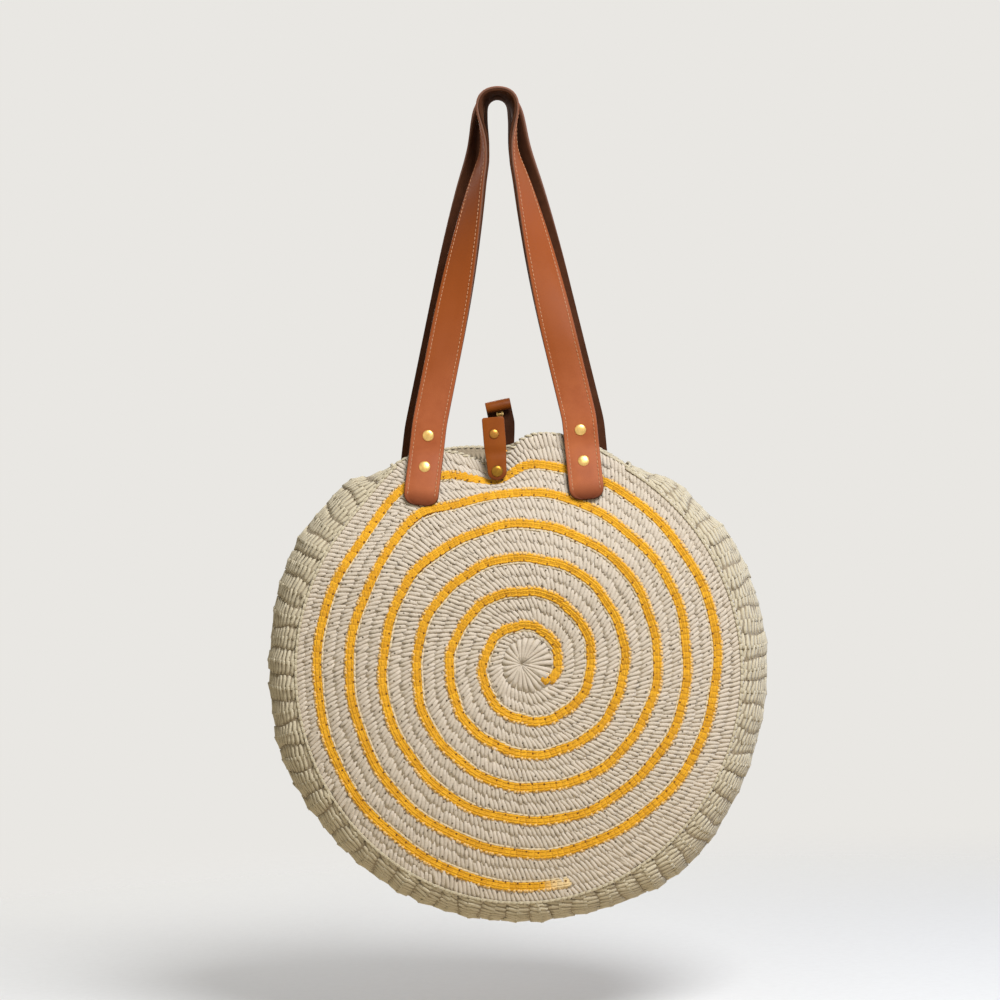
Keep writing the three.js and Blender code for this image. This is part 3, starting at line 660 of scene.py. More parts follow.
def line_object(runs):
    stations = [station for run in runs for station in run]
    edges, start = [], 0
    for run in runs:
        edges += [(start + i, start + i + 1) for i in range(len(run) - 1)]
        start += len(run)
    mesh = bpy.data.meshes.new("row_line")
    mesh.from_pydata([tuple(s.point * MM) for s in stations], edges, [])
    for label in ("out", "across"):
        vectors = np.array([getattr(s, label) for s in stations], dtype=np.float32)
        mesh.attributes.new(label, "FLOAT_VECTOR", "POINT").data.foreach_set("vector", vectors.ravel())
    for label in ("height", "fade"):
        numbers = np.array([getattr(s, label) for s in stations], dtype=np.float32)
        mesh.attributes.new(label, "FLOAT", "POINT").data.foreach_set("value", numbers)
    line = bpy.data.objects.new("row_line", mesh)
    bpy.context.scene.collection.objects.link(line)
    return line


def made_by_nodes(name, line, tree, inputs):
    # Run the tree on the line, keep the result as a plain mesh and take the line away.
    modifier = line.modifiers.new("nodes", "NODES")
    modifier.node_group = tree
    sockets = [item for item in tree.interface.items_tree if item.in_out == "INPUT"]
    identifiers = {socket.name: socket.identifier for socket in sockets}
    for label, value in inputs.items():
        modifier[identifiers[label]] = value
    bpy.context.view_layer.update()
    depsgraph = bpy.context.evaluated_depsgraph_get()
    mesh = bpy.data.meshes.new_from_object(
        line.evaluated_get(depsgraph), preserve_all_data_layers=True, depsgraph=depsgraph,
    )
    for label in ("out", "across", "height"):
        if label in mesh.attributes:
            mesh.attributes.remove(mesh.attributes[label])
    mesh.name = name
    piece = bpy.data.objects.new(name, mesh)
    bpy.context.scene.collection.objects.link(piece)
    bpy.data.objects.remove(line)
    print(name, len(mesh.polygons), "faces")
    return piece


def lay_stitches(name, runs, stitch, spacing, yarn, seed, sway=0.06):
    inputs = {"Stitch": stitch, "Spacing": spacing * MM, "Sway": sway, "Seed": seed, "Finish": yarn}
    return made_by_nodes(name, line_object(runs), stitch_rows, inputs)


# %% [markdown]
# The yellow row is one spiral, worked outwards from near the middle, and the cream rows fill the
# ribbon of cloth between its turns. Closed rings would be simpler, but the bag shows where the row
# begins and ends. All rows are planned in polar form about the spiral's middle: an angle that
# keeps growing, and a reach. The last turns run out against the rim of the panel.

# %% The plan of the spiral
YELLOW_EDGE = 3.4  # from the middle of the yellow row out to the cream rows
CHAIN_EDGE = 4.4  # and in to the top of the cream row before it, past the chain line
ROW_PITCH = 26.7
SPIRAL_X = 8.0
SPIRAL_RISE = 3.5
SPIRAL_END = math.radians(277)
SPIRAL_END_REACH = 177.5
SPIRAL_START_REACH = 21.2
TURN = 2 * math.pi
SPIRAL_START = SPIRAL_END - TURN * (SPIRAL_END_REACH - SPIRAL_START_REACH) / ROW_PITCH
SLIVER_ARC = math.radians(52)  # past the end of the yellow row, a last short cream row
LEAST_SLIVER = 4.0
CROWDING = 6.5  # how far the outermost turns are pressed together on one side
CROWDED_FROM, CROWDED_TO = 90.0, 180.0  # reaches between which that sets in
STAR_X = 2.2  # the point of the star, beside and above the middle of the panel
STAR_RISE = 4.6
STAR_REACH = 21.0
STAR_CLEARANCE = 4.2  # from the yellow row in to the star
STAR_GAP = 0.6  # from the star out to the first cream row
RIM_LAP = 0.2  # the last cream row goes this far over the rim
LEAST_REACH = 18.0  # further in, steps along a row turn by the angle that they have here


def yellow_reach(angle):
    # A row worked by hand wavers a little, and on one side the outer turns crowd together.
    even = SPIRAL_END_REACH - ROW_PITCH * (SPIRAL_END - angle) / TURN
    waver = 0.6 * math.sin(7.3 * angle) + 0.35 * math.sin(16.7 * angle + 1)
    crowded = CROWDING * max(0.0, math.cos(angle)) * smoothstep(even, CROWDED_FROM, CROWDED_TO)
    return even + waver - crowded


def spiral_place(side, angle, reach):
    x = -side.sign * (SPIRAL_X + reach * math.cos(angle))
    return x, CENTRE_Z + SPIRAL_RISE + reach * math.sin(angle)


def rim_reach(angle):
    # Where a ray from the spiral's middle meets the panel's oval rim.
    dx, dz = math.cos(angle) / PANEL_HALF_WIDTH, math.sin(angle) / PANEL_HALF_HEIGHT
    cx, cz = SPIRAL_X / PANEL_HALF_WIDTH, SPIRAL_RISE / PANEL_HALF_HEIGHT
    a, b, c = dx * dx + dz * dz, dx * cx + dz * cz, cx * cx + cz * cz - 1
    return (-b + math.sqrt(b * b - a * c)) / a


print("turns of yellow:", round((SPIRAL_END - SPIRAL_START) / TURN, 2))


# %% Where the cream begins and ends
def star_reach(angle):
    # The middle star grows from the spiral's start to where the first yellow turn closes on it.
    turned = ((angle - SPIRAL_START) % TURN) / TURN
    return min(STAR_REACH, SPIRAL_START_REACH - STAR_CLEARANCE + ROW_PITCH * turned)


def cream_base(angle):
    return star_reach(angle) + STAR_GAP if angle < SPIRAL_START else yellow_reach(angle) + YELLOW_EDGE


def cream_top(angle):
    # Past the end of the yellow row the cream goes on to the rim, unless a sliver of its own fits there.
    next_turn, rim = yellow_reach(angle + TURN) - CHAIN_EDGE, rim_reach(angle) + RIM_LAP
    sliver_fits = angle + TURN < SPIRAL_END + SLIVER_ARC and rim - next_turn > LEAST_SLIVER
    return next_turn if angle + TURN < SPIRAL_END or sliver_fits else rim


def angles_between(start, end, step=3.0):
    # Steps of about the same length along the row, whatever the reach.
    angles = [start]
    while angles[-1] < end:
        angles.append(angles[-1] + step / max(LEAST_REACH, yellow_reach(angles[-1])))
    return angles


def across_station(side, angle, base, top, fade=0.0, slant=0.0):
    # A stitch that runs from one reach to another, placed by its middle. Strokes lean along the row.
    ahead = slant * (top - base) / (top + base)
    low = on_panel(side, *spiral_place(side, angle - ahead, base), CORE_LIFT)
    high = on_panel(side, *spiral_place(side, angle + ahead, top), CORE_LIFT)
    out = panel_out(side, *spiral_place(side, angle, (base + top) / 2))
    return Station((low + high) / 2, out, unit(high - low), np.linalg.norm(high - low), fade)


ribbon_width = cream_top(SPIRAL_START) - cream_base(SPIRAL_START)
print("cream beside the first yellow turn:", round(ribbon_width, 1), "mm")

# %% [markdown]
# Two cream rows of short slanting strokes fill the ribbon between two yellow turns, or one where
# the ribbon is narrow. A pattern in the material could suggest them, but real strokes catch the
# light at any angle. Each row is a line of stations that follows the spiral. A last short run
# fills the sliver between the end of the spiral and the rim, and the star at the centre is a ring
# of long strokes that all lean in to one point.

# %% Cream rows
CREAM_ROW = 9.5
MOST_ROWS = 2  # side by side in the ribbon
LAP = 1.2  # how far a stitch reaches over the rows beside it
SLANT = 0.3  # sideways for each millimetre outwards
FIRST_TURN = 0.8 * TURN  # the cream begins this much before the yellow row does
STAR_STEP = 1.5
STAR_EYE = 1.0  # the strokes of the star stop this far from its point


def cream_runs(side):
    first = SPIRAL_START - FIRST_TURN
    ribbon = [(a, cream_base(a), cream_top(a)) for a in angles_between(first, SPIRAL_END)]
    sliver_angles = angles_between(SPIRAL_END, SPIRAL_END + SLIVER_ARC)
    sliver = [(a, yellow_reach(a) - CHAIN_EDGE, rim_reach(a) + RIM_LAP) for a in sliver_angles]
    sliver = [place for place in sliver if place[2] - place[1] > LEAST_SLIVER]
    return worked_rows(side, ribbon) + worked_rows(side, sliver)


def worked_rows(side, strip):
    # Two rows between base and top, or one where two don't fit. The second may stop and begin again.
    runs = []
    for row in range(MOST_ROWS):
        run = []
        for angle, base, top in strip:
            count = MOST_ROWS if top - base > 1.5 * CREAM_ROW else 1
            if row < count:
                low = base + (top - base) * row / count
                high = base + (top - base) * (row + 1) / count
                run.append(across_station(side, angle, low - LAP, high + LAP, slant=SLANT))
            elif run:
                runs.append(run)
                run = []
        runs.append(run)
    return [run for run in runs if len(run) > 1]


def star_run(side):
    x, z = -side.sign * STAR_X, CENTRE_Z + STAR_RISE
    centre = on_panel(side, x, z, CORE_LIFT)
    out = panel_out(side, x, z)
    stations = []
    for angle in angles_between(SPIRAL_START, SPIRAL_START + TURN, STAR_STEP):
        end = on_panel(side, *spiral_place(side, angle, star_reach(angle)), CORE_LIFT)
        inward = centre - end
        height = np.linalg.norm(inward) - STAR_EYE
        stations.append(Station(end + unit(inward) * height / 2, out, unit(inward), height, 0))
    return stations


for side in SIDES:
    lay_stitches(
        f"{side.name}_cream_rows", cream_runs(side), short_stitch,
        spacing=STITCH_PITCH, yarn=cream_yarn, seed=3, sway=0.14,
    )
    lay_stitches(
        f"{side.name}_centre_star", [star_run(side)], star_stitch, spacing=3.0, yarn=cream_yarn, seed=5,
    )

# %% [markdown]
# Along the inner edge of every yellow turn runs a bright line of chain links, the top of the cream
# row before it. The yellow row itself is short stitches whose fingers reach outwards into the cream.
# A coloured stripe on the cream strokes would be less work, but these stitches look different.
# Small holes stay open between the two, and more of them in the cream rows on either side. Dark plugs paint
# the shade in them.
# Under the row a thin yellow band goes through the cloth, so the colour also shows inside the bag. Its yellow
# is darker than the yarn's, which is painted shade.

# %% Lines along the yellow row
# Lines beside the yellow row, by their distance outwards from its middle
CHAIN_LINE = -4.3
YELLOW_HOLES = -2.6
INNER_HOLES = -7.8
OUTER_HOLES = 6.2

HOOK = math.radians(8)  # the row's first stitches are drawn in towards the star
HOOK_DRAW = 2.5
LOOSE_END_FADE = 0.7  # the last stitches are worked with a paler end of yarn
LOOSE_END_FROM, LOOSE_END_TO = 4.0, 18.0  # palest up to here before the end, as usual beyond
FINGER_FADE = 0.45  # thin fingers let the cream show through
YELLOW_HALF = 3.5  # half the width of the yellow band in the cloth
YELLOW_STEP = 3.0  # from ring to ring along it


def spot_station(side, angle, reach, fade=0.0):
    # A stitch of its own size, at one place of the plan.
    return across_station(side, angle, reach - 0.5, reach + 0.5, fade)._replace(height=1.0)


def beside_yellow(side, offset, wander=0.0):
    # A line that keeps its distance from the middle of the yellow row, or wanders about it.
    run = []
    for angle in angles_between(SPIRAL_START, SPIRAL_END):
        strayed = wander * math.sin(23 * angle) * math.sin(7.3 * angle)
        run.append(spot_station(side, angle, yellow_reach(angle) + offset + strayed))
    return run


def yellow_run(side, pale=0.0):
    stations = []
    for angle in angles_between(SPIRAL_START - HOOK, SPIRAL_END):
        drawn_in = HOOK_DRAW * max(0.0, (SPIRAL_START - angle) / HOOK) ** 2
        reach = yellow_reach(angle) - drawn_in
        left = (SPIRAL_END - angle) * SPIRAL_END_REACH
        fade = max(pale, LOOSE_END_FADE * (1 - smoothstep(left, LOOSE_END_FROM, LOOSE_END_TO)))
        stations.append(spot_station(side, angle, reach, fade))
    return stations


print("stations along the yellow row:", len(yellow_run(FRONT)))


# %% Chain lines and the yellow spiral
def yellow_band(side):
    # Four corners at each step: on the outside of the core, and just past the inside of the cloth.
    outside, inside = -0.7, -CLOTH - 0.3
    corners = [
        (-YELLOW_HALF, outside), (YELLOW_HALF, outside), (YELLOW_HALF, inside), (-YELLOW_HALF, inside),
    ]
    points = []
    angles = angles_between(SPIRAL_START, SPIRAL_END)
    for angle in angles:
        reach = yellow_reach(angle)
        points += [on_panel(side, *spiral_place(side, angle, reach + o), lift) for o, lift in corners]
    faces = ring_faces(len(angles), 4)
    uv = []
    for face in faces:
        for vertex in face:
            ring, corner = divmod(vertex, 4)
            uv.append((ring * YELLOW_STEP / STITCH_PITCH, 0.25 + 0.5 * (corner in (1, 2))))
    faces += end_lids(len(angles), 4)
    uv += [(0, 0)] * 8
    return make_piece(f"{side.name}_yellow_band", points, faces, [yellow_shade_cloth], uv=uv)


for side in SIDES:
    name = side.name
    lay_stitches(
        f"{name}_chain_line", [beside_yellow(side, CHAIN_LINE)], chain_stitch,
        spacing=4.8, yarn=chain_yarn, seed=7,
    )
    lay_stitches(
        f"{name}_yellow_row", [yellow_run(side)], yellow_stitch, spacing=4.8, yarn=yellow_yarn, seed=11,
    )
    lay_stitches(
        f"{name}_yellow_fingers", [yellow_run(side, FINGER_FADE)], finger_stitch,
        spacing=2.3, yarn=yellow_yarn, seed=37, sway=0.2,
    )
    lay_stitches(
        f"{name}_yellow_holes", [beside_yellow(side, YELLOW_HOLES, wander=1.2)], yellow_plug,
        spacing=9.7, yarn=brown_hole_shade_yarn, seed=29,
    )
    hole_lines = [
        beside_yellow(side, INNER_HOLES, wander=2.2), beside_yellow(side, OUTER_HOLES, wander=0.8),
    ]
    lay_stitches(f"{name}_cream_holes", hole_lines, hole_plug, spacing=11.3, yarn=hole_shade_yarn, seed=31)
    yellow_band(side)

# %% [markdown]
# The side band is a long strip of short rows, worked back and forth across the depth of the bag and
# joined to both panels. Its strokes run along the rim, two lines of them in a row. A groove lies
# between every two rows, and the rows swell between the grooves, which gives the scalloped outline.
# The band's points come from an angle round the rim and a turn across its depth, as in the solid.
# Groove and swell are part of that rule, so that the core and the strokes follow them together.

# %% The shape of the side band
BAND_END_BULGE = 4.5  # how far the band stands out past the rims, at the mouth
BAND_BULGE = 20.0  # at the bottom
BAND_SIDE_BULGE = 24.0  # and at the sides
BAND_TAPER_LEFT = 12.0  # degrees from the mouth to where the band is full
BAND_TAPER_RIGHT = 18.0
FIT = 0.3  # clearance between joined pieces, as in the solids
BAND_ROWS = 52
BAND_PARTS = 2  # lines of short stitches in a row
BAND_SWELL = 1.5  # how far a row stands out between two grooves
BAND_DEPTH = 95.0  # across the band, along its curve
BAND_TURNS = np.linspace(-1.5, 1.5, 27)  # stations across the depth, from seam to seam
GROOVE = 0.008  # radians that a row keeps clear of the groove beside it
ANGLE_STEP = 0.01  # small steps, to find which way the band faces
TURN_STEP = 0.02
Fullness = namedtuple("Fullness", "degrees spread out")
BAND_FULLNESS = (
    Fullness(degrees=51, spread=6, out=-6.5), Fullness(degrees=141, spread=16, out=6.5),
    Fullness(degrees=252, spread=8, out=3.0), Fullness(degrees=298, spread=13, out=3.5),
)
BAND_ARC = TURN - 2 * MOUTH_HALF


def rim_sag(side, angle):
    return sag(side, PANEL_HALF_WIDTH * math.sin(angle), 1, angle)


def bulge_at(angle):
    from_top = min(angle, TURN - angle) - MOUTH_HALF
    taper = math.radians(BAND_TAPER_RIGHT if angle < math.pi else BAND_TAPER_LEFT)
    full = BAND_BULGE + (BAND_SIDE_BULGE - BAND_BULGE) * abs(math.sin(angle))
    # A bag that hangs empty is fuller in some places than in others.
    full += sum(f.out * bump_at(math.degrees(angle), f.degrees, f.spread) for f in BAND_FULLNESS)
    return BAND_END_BULGE + (full - BAND_END_BULGE) * smoothstep(from_top, 0, taper)


def band_row_at(angle):
    return (angle - MOUTH_HALF) / BAND_ARC * BAND_ROWS


def outer_lift(angle):
    # Grooves lie between rows. No two rows swell alike, and those on the right swell least.
    # Two waves over the row's number stand in for chance.
    row = band_row_at(angle)
    uneven = 0.75 + 0.4 * math.sin(2.3 * math.floor(row)) + 0.25 * math.sin(5.1 * math.floor(row))
    swell = BAND_SWELL * max(0.2, uneven - 0.25 * math.sin(angle))
    return CORE_LIFT + swell * math.sin(math.pi * (row % 1)) - 0.5 * BAND_SWELL


def on_band(angle, turn, lift):
    out = FIT + (bulge_at(angle) + lift) * math.cos(turn)
    share = (1 + math.sin(turn)) / 2
    drop = rim_sag(FRONT, angle) * (1 - share) + rim_sag(REAR, angle) * share
    return np.array([
        (PANEL_HALF_WIDTH + out) * math.sin(angle),
        (rim_depth(angle) + lift) * math.sin(turn),
        CENTRE_Z + (PANEL_HALF_HEIGHT + out) * math.cos(angle) - drop,
    ])


print("lowest point of the band:", on_band(math.pi, 0, 0))


# %% The cloth of the side band
def band_core(sections=4 * BAND_ROWS + 1, steps=16):
    angles = np.linspace(MOUTH_HALF, TURN - MOUTH_HALF, sections)
    turns = np.linspace(-math.pi / 2, math.pi / 2, steps)
    points = []
    for angle in angles:
        points += [on_band(angle, turn, outer_lift(angle)) for turn in turns]
        points += [on_band(angle, turn, -CLOTH) for turn in turns[::-1]]
    size = 2 * steps
    faces = ring_faces(sections, size)
    uv = []
    for face in faces:
        for vertex in face:
            section, k = vertex // size, vertex % size
            depth = min(k, size - 1 - k) / (steps - 1) * BAND_DEPTH
            uv.append((depth / STITCH_PITCH, band_row_at(angles[section]) / 2))
    for start in (0, len(points) - size):
        for k in range(steps - 1):
            faces.append((start + k, start + k + 1, start + size - 2 - k, start + size - 1 - k))
            uv += [(0, 0)] * 4
    # The band's core takes the shaded cloth: painted shade in the gaps between its strokes.
    return make_piece("side_band_cloth", points, faces, [shaded_cloth], uv=uv)


print("side band core:", len(band_core().data.polygons), "faces")


# %% Rows and holes of the side band
def row_line(index, turn):
    # Where two rows of the band meet. The line wavers across the depth, except at the mouth.
    inside = min(index, BAND_ROWS - index, 1)
    waver = 0.011 * math.sin(2.1 * turn + 1.7 * index) + 0.005 * math.sin(5.3 * turn + 2.9 * index)
    return MOUTH_HALF + index * BAND_ARC / BAND_ROWS + inside * waver


def band_onward(angle, turn):
    return on_band(angle + ANGLE_STEP, turn, 0) - on_band(angle - ANGLE_STEP, turn, 0)


def band_out(angle, turn):
    sideways = on_band(angle, turn + TURN_STEP, 0) - on_band(angle, turn - TURN_STEP, 0)
    return unit(np.cross(sideways, band_onward(angle, turn)))


def band_runs():
    runs = []
    for i in range(BAND_ROWS):
        for part in range(BAND_PARTS):
            run = []
            for turn in BAND_TURNS:
                low = row_line(i, turn) + GROOVE
                high = row_line(i + 1, turn) - GROOVE
                start = low + (high - low) * part / BAND_PARTS
                end = low + (high - low) * (part + 1) / BAND_PARTS
                low_end, middle, high_end = [
                    on_band(a, turn, outer_lift(a)) for a in (start, (start + end) / 2, end)
                ]
                length = np.linalg.norm(high_end - low_end)
                along = unit(high_end - low_end)
                out = band_out((start + end) / 2, turn)
                out = unit(out - along * out.dot(along))
                run.append(Station(middle, out, along, length + 2 * LAP, 0))
            runs.append(run)
    return runs


def band_hole_runs():
    # Small holes stay open where two rows meet, and dark plugs paint the shade in them.
    runs = []
    for index in range(1, BAND_ROWS):
        run = []
        for turn in BAND_TURNS:
            angle = row_line(index, turn) + GROOVE * math.sin(9 * turn + 3 * index)
            point = on_band(angle, turn, outer_lift(angle))
            run.append(Station(point, band_out(angle, turn), unit(band_onward(angle, turn)), 1, 0))
        runs.append(run)
    return runs


lay_stitches("side_band_rows", band_runs(), band_stitch, spacing=4.2, yarn=band_shade_yarn, seed=13, sway=0.1)
lay_stitches("side_band_holes", band_hole_runs(), hole_plug, spacing=8.9, yarn=hole_shade_yarn, seed=41)

# %% [markdown]
# Panels and band are joined by a raised line of chain stitches, and the mouth is finished with
# a rounded edging. Plain cords would be simpler, but up close such a join shows link after link.
# So both are links again, heavier ones, along the rim of each panel.

# %% Seams and mouth edging
LINK_PITCH = 5.0
SEAM_LEAN = 0.35  # the links face the front or the back, leaning this much outwards
SEAM_INSET = 0.8
SEAM_LIFT = 0.3
MOUTH_LAP = 0.02  # radians that the edging goes on past each end of the mouth
INSIDE_RIM = 0.99  # a little below the edge, to find which way it faces


def seam_run(side):
    stations = []
    facing = np.array([0.0, side.sign, 0.0])
    for angle in np.linspace(MOUTH_HALF, TURN - MOUTH_HALF, 260):
        radial = np.array([math.sin(angle), 0, math.cos(angle)])
        x, z = rim_place(1, angle)
        depth = rim_depth(angle) + FIT
        point = np.array([x, side.sign * depth, z - rim_sag(side, angle)])
        out = unit(facing + SEAM_LEAN * radial)
        across = unit(radial - SEAM_LEAN * facing)
        stations.append(Station(point - SEAM_INSET * radial + SEAM_LIFT * out, out, across, 1, 0))
    return stations


def mouth_run(side):
    stations = []
    facing = np.array([0.0, side.sign, 0.0])
    for angle in np.linspace(-MOUTH_HALF - MOUTH_LAP, MOUTH_HALF + MOUTH_LAP, 120):
        edge = on_panel(side, *rim_place(1, angle), -CLOTH / 2)
        under = on_panel(side, *rim_place(INSIDE_RIM, angle), -CLOTH / 2)
        stations.append(Station(edge, unit(edge - under), facing, 1, 0))
    return stations


def band_end_runs():
    # The mouth edging goes on across both ends of the band.
    runs = []
    for angle, onward in ((MOUTH_HALF, 1), (TURN - MOUTH_HALF, -1)):
        run = []
        for turn in BAND_TURNS:
            edge = on_band(angle, turn, -CLOTH / 2)
            under = on_band(angle + 2 * ANGLE_STEP * onward, turn, -CLOTH / 2)
            run.append(Station(edge, unit(edge - under), band_out(angle, turn), 1, 0))
        runs.append(run)
    return runs


lay_stitches("band_end_edging", band_end_runs(), edge_stitch, LINK_PITCH, band_shade_yarn, seed=23)
for side in SIDES:
    name = side.name
    lay_stitches(f"{name}_seam_chain", [seam_run(side)], seam_stitch, LINK_PITCH, band_shade_yarn, seed=17)
    lay_stitches(f"{name}_mouth_edging", [mouth_run(side)], edge_stitch, LINK_PITCH, band_shade_yarn, seed=19)

# %% [markdown]
# The handles are tan leather, smooth on the outside, glued to a dark suede and sewn along both edges.
# Vegetable-tanned leather is mottled at the size of a fingertip, has a fine pebbled grain, and is
# browner and duller where it was cut. The grain is drawn a little coarser than life so that it shows.
# Suede is the napped flesh side: dark, without any gloss, with brushed patches.
# Pictures of hide would repeat along a strap. Noise and cells, sized in millimetres, never do, and attributes
# say where the leather is cut or oiled, and where its tips take painted shade.

# %% Tan leather
MOTTLE_SIZE = 22.0
GRAIN_SIZE = 1.1  # pebbles of tanned hide are about half this size


def tan_leather(name, deep, light):
    # Smooth tanned hide with a satin wax finish: soft highlights, warm mottling, dull cut edges, deeper
    # colour where hands oiled it, and tips darkened by painted shade where they bend in towards the panel.
    material, tree, shader = new_material(name)
    place = add_node(tree, "ShaderNodeTexCoord")
    mottle = add_node(
        tree, "ShaderNodeTexNoise",
        {"Vector": place.outputs["Object"], "Scale": 1 / (MOTTLE_SIZE * MM), "Detail": 4.0, "Roughness": 0.6},
    )
    grain = add_node(
        tree, "ShaderNodeTexVoronoi", {"Vector": place.outputs["Object"], "Scale": 1 / (GRAIN_SIZE * MM)},
        feature="DISTANCE_TO_EDGE",
    )
    hide = add_node(
        tree, "ShaderNodeMix",
        {"Factor": mottle.outputs["Fac"], "A": linear(deep), "B": linear(light)}, data_type="RGBA",
    )
    handled = add_node(tree, "ShaderNodeAttribute", attribute_name="handled")
    oiled = add_node(
        tree, "ShaderNodeMix",
        {"Factor": handled.outputs["Fac"], "A": hide.outputs["Result"], "B": linear("#8c420a")},
        data_type="RGBA",
    )
    edge = add_node(tree, "ShaderNodeAttribute", attribute_name="cut_edge")
    cut = add_node(
        tree, "ShaderNodeMix",
        {"Factor": edge.outputs["Fac"], "A": oiled.outputs["Result"], "B": linear("#6e4a38")},
        data_type="RGBA",
    )
    # Painted shade: the tips darken where they bend in towards the panel.
    burnish = add_node(tree, "ShaderNodeAttribute", attribute_name="burnish")
    tip_shaded = add_node(
        tree, "ShaderNodeMix",
        {"Factor": burnish.outputs["Fac"], "A": cut.outputs["Result"], "B": linear("#4a1a06")},
        data_type="RGBA",
    )
    rough = add_node(
        tree, "ShaderNodeMath", {0: mottle.outputs["Fac"], 1: 0.25, 2: 0.4}, operation="MULTIPLY_ADD",
    )
    pebble = add_node(
        tree, "ShaderNodeMath", {0: grain.outputs["Distance"], 1: 3.0},
        operation="MULTIPLY", use_clamp=True,
    )
    bump = add_node(
        tree, "ShaderNodeBump", {"Strength": 0.25, "Distance": 0.12 * MM, "Height": pebble.outputs[0]},
    )
    tree.links.new(tip_shaded.outputs["Result"], shader.inputs["Base Color"])
    tree.links.new(rough.outputs[0], shader.inputs["Roughness"])
    tree.links.new(bump.outputs["Normal"], shader.inputs["Normal"])
    shader.inputs["Specular IOR Level"].default_value = 0.22
    return material


leather = tan_leather("tan_smooth_leather", "#90421e", "#be6c3e")
tab_hide = tan_leather("tan_tab_leather", "#783404", "#9c520e")
print("leathers:", leather.name, tab_hide.name)

# %% Dark suede
NAP_PATCH = 9.0
NAP_FIBRE = 0.9  # drawn coarser than life so that the nap shows


def dark_suede(name):
    # Brushed flesh side of the hide: a nap that scatters light, so no highlight, only patches.
    material, tree, shader = new_material(name)
    place = add_node(tree, "ShaderNodeTexCoord")
    nap = add_node(
        tree, "ShaderNodeTexNoise",
        {"Vector": place.outputs["Object"], "Scale": 1 / (NAP_PATCH * MM), "Detail": 6.0, "Roughness": 0.75},
    )
    fibre = add_node(
        tree, "ShaderNodeTexNoise",
        {"Vector": place.outputs["Object"], "Scale": 1 / (NAP_FIBRE * MM), "Detail": 2.0},
    )
    brushed = add_node(
        tree, "ShaderNodeMix",
        {"Factor": nap.outputs["Fac"], "A": linear("#2c160a"), "B": linear("#5c3622")}, data_type="RGBA",
    )
    bump = add_node(
        tree, "ShaderNodeBump", {"Strength": 0.5, "Distance": 0.3 * MM, "Height": fibre.outputs["Fac"]},
    )
    tree.links.new(brushed.outputs["Result"], shader.inputs["Base Color"])
    tree.links.new(bump.outputs["Normal"], shader.inputs["Normal"])
    shader.inputs["Roughness"].default_value = 0.95
    shader.inputs["Specular IOR Level"].default_value = 0.1
    shader.inputs["Sheen Weight"].default_value = 0.2
    shader.inputs["Sheen Tint"].default_value = linear("#a06a48")
    return material


suede = dark_suede("dark_brown_suede")
print("suede:", suede.name)

# %% [markdown]
# The handles are sewn with waxed thread, and rivets and snaps of plated brass hold them.
# The caps on the handles are bright; the snap caps are of darker brass, and the darker brass of the tab
# rivets is painted shade.
# The twist of thread and the marks on metal are too fine to model, so noise draws them.

# %% Waxed thread and plated brass
TWIST_SIZE = 1.0  # of the thread's plies, drawn coarser than life so that they show
MARK_SIZE = 2.5  # handling marks on plated metal


def waxed_thread(name):
    # Polyester thread drawn through wax: pale, slightly shiny, twisted.
    material, tree, shader = new_material(name)
    place = add_node(tree, "ShaderNodeTexCoord")
    twist = add_node(
        tree, "ShaderNodeTexNoise",
        {"Vector": place.outputs["Object"], "Scale": 1 / (TWIST_SIZE * MM), "Detail": 2.0},
    )
    spun = add_node(
        tree, "ShaderNodeMix",
        {"Factor": twist.outputs["Fac"], "A": linear("#a87048"), "B": linear("#d4a27a")}, data_type="RGBA",
    )
    tree.links.new(spun.outputs["Result"], shader.inputs["Base Color"])
    shader.inputs["Roughness"].default_value = 0.6
    return material


def plated_brass(name, bright, dull):
    # Stamped steel plated with pale brass: mirror-like, with faint handling marks.
    material, tree, shader = new_material(name)
    place = add_node(tree, "ShaderNodeTexCoord")
    marks = add_node(
        tree, "ShaderNodeTexNoise",
        {"Vector": place.outputs["Object"], "Scale": 1 / (MARK_SIZE * MM), "Detail": 4.0},
    )
    plate = add_node(
        tree, "ShaderNodeMix",
        {"Factor": marks.outputs["Fac"], "A": linear(dull), "B": linear(bright)}, data_type="RGBA",
    )
    rough = add_node(
        tree, "ShaderNodeMath", {0: marks.outputs["Fac"], 1: 0.2, 2: 0.28}, operation="MULTIPLY_ADD",
    )
    tree.links.new(plate.outputs["Result"], shader.inputs["Base Color"])
    tree.links.new(rough.outputs[0], shader.inputs["Roughness"])
    shader.inputs["Metallic"].default_value = 1.0
    return material


thread = waxed_thread("waxed_thread")
brass = plated_brass("plated_brass", "#f2cf86", "#d9a95a")
aged_brass = plated_brass("aged_brass", "#c98f45", "#8f5e24")
# Painted shade: the tab rivets' brass is darker, as they lie in shade.
dull_brass = plated_brass("dull_brass", "#a87c30", "#7c541c")
print("thread and metal:", thread.name, brass.name, aged_brass.name, dull_brass.name)

# %% [markdown]
# On the real bag each handle is one long strap: it lies on the panel, rises, turns edge on
# and passes over the point that it hangs on. The solid is cut at the line where the handle swings,
# but the dressed strap is whole from tip to tip. Its middle line repeats the solid's
# route, and a smooth curve through those points carries the strap's section. A bevelled curve
# could do that, but its twist is hard to steer. Here each station says where the edge points.

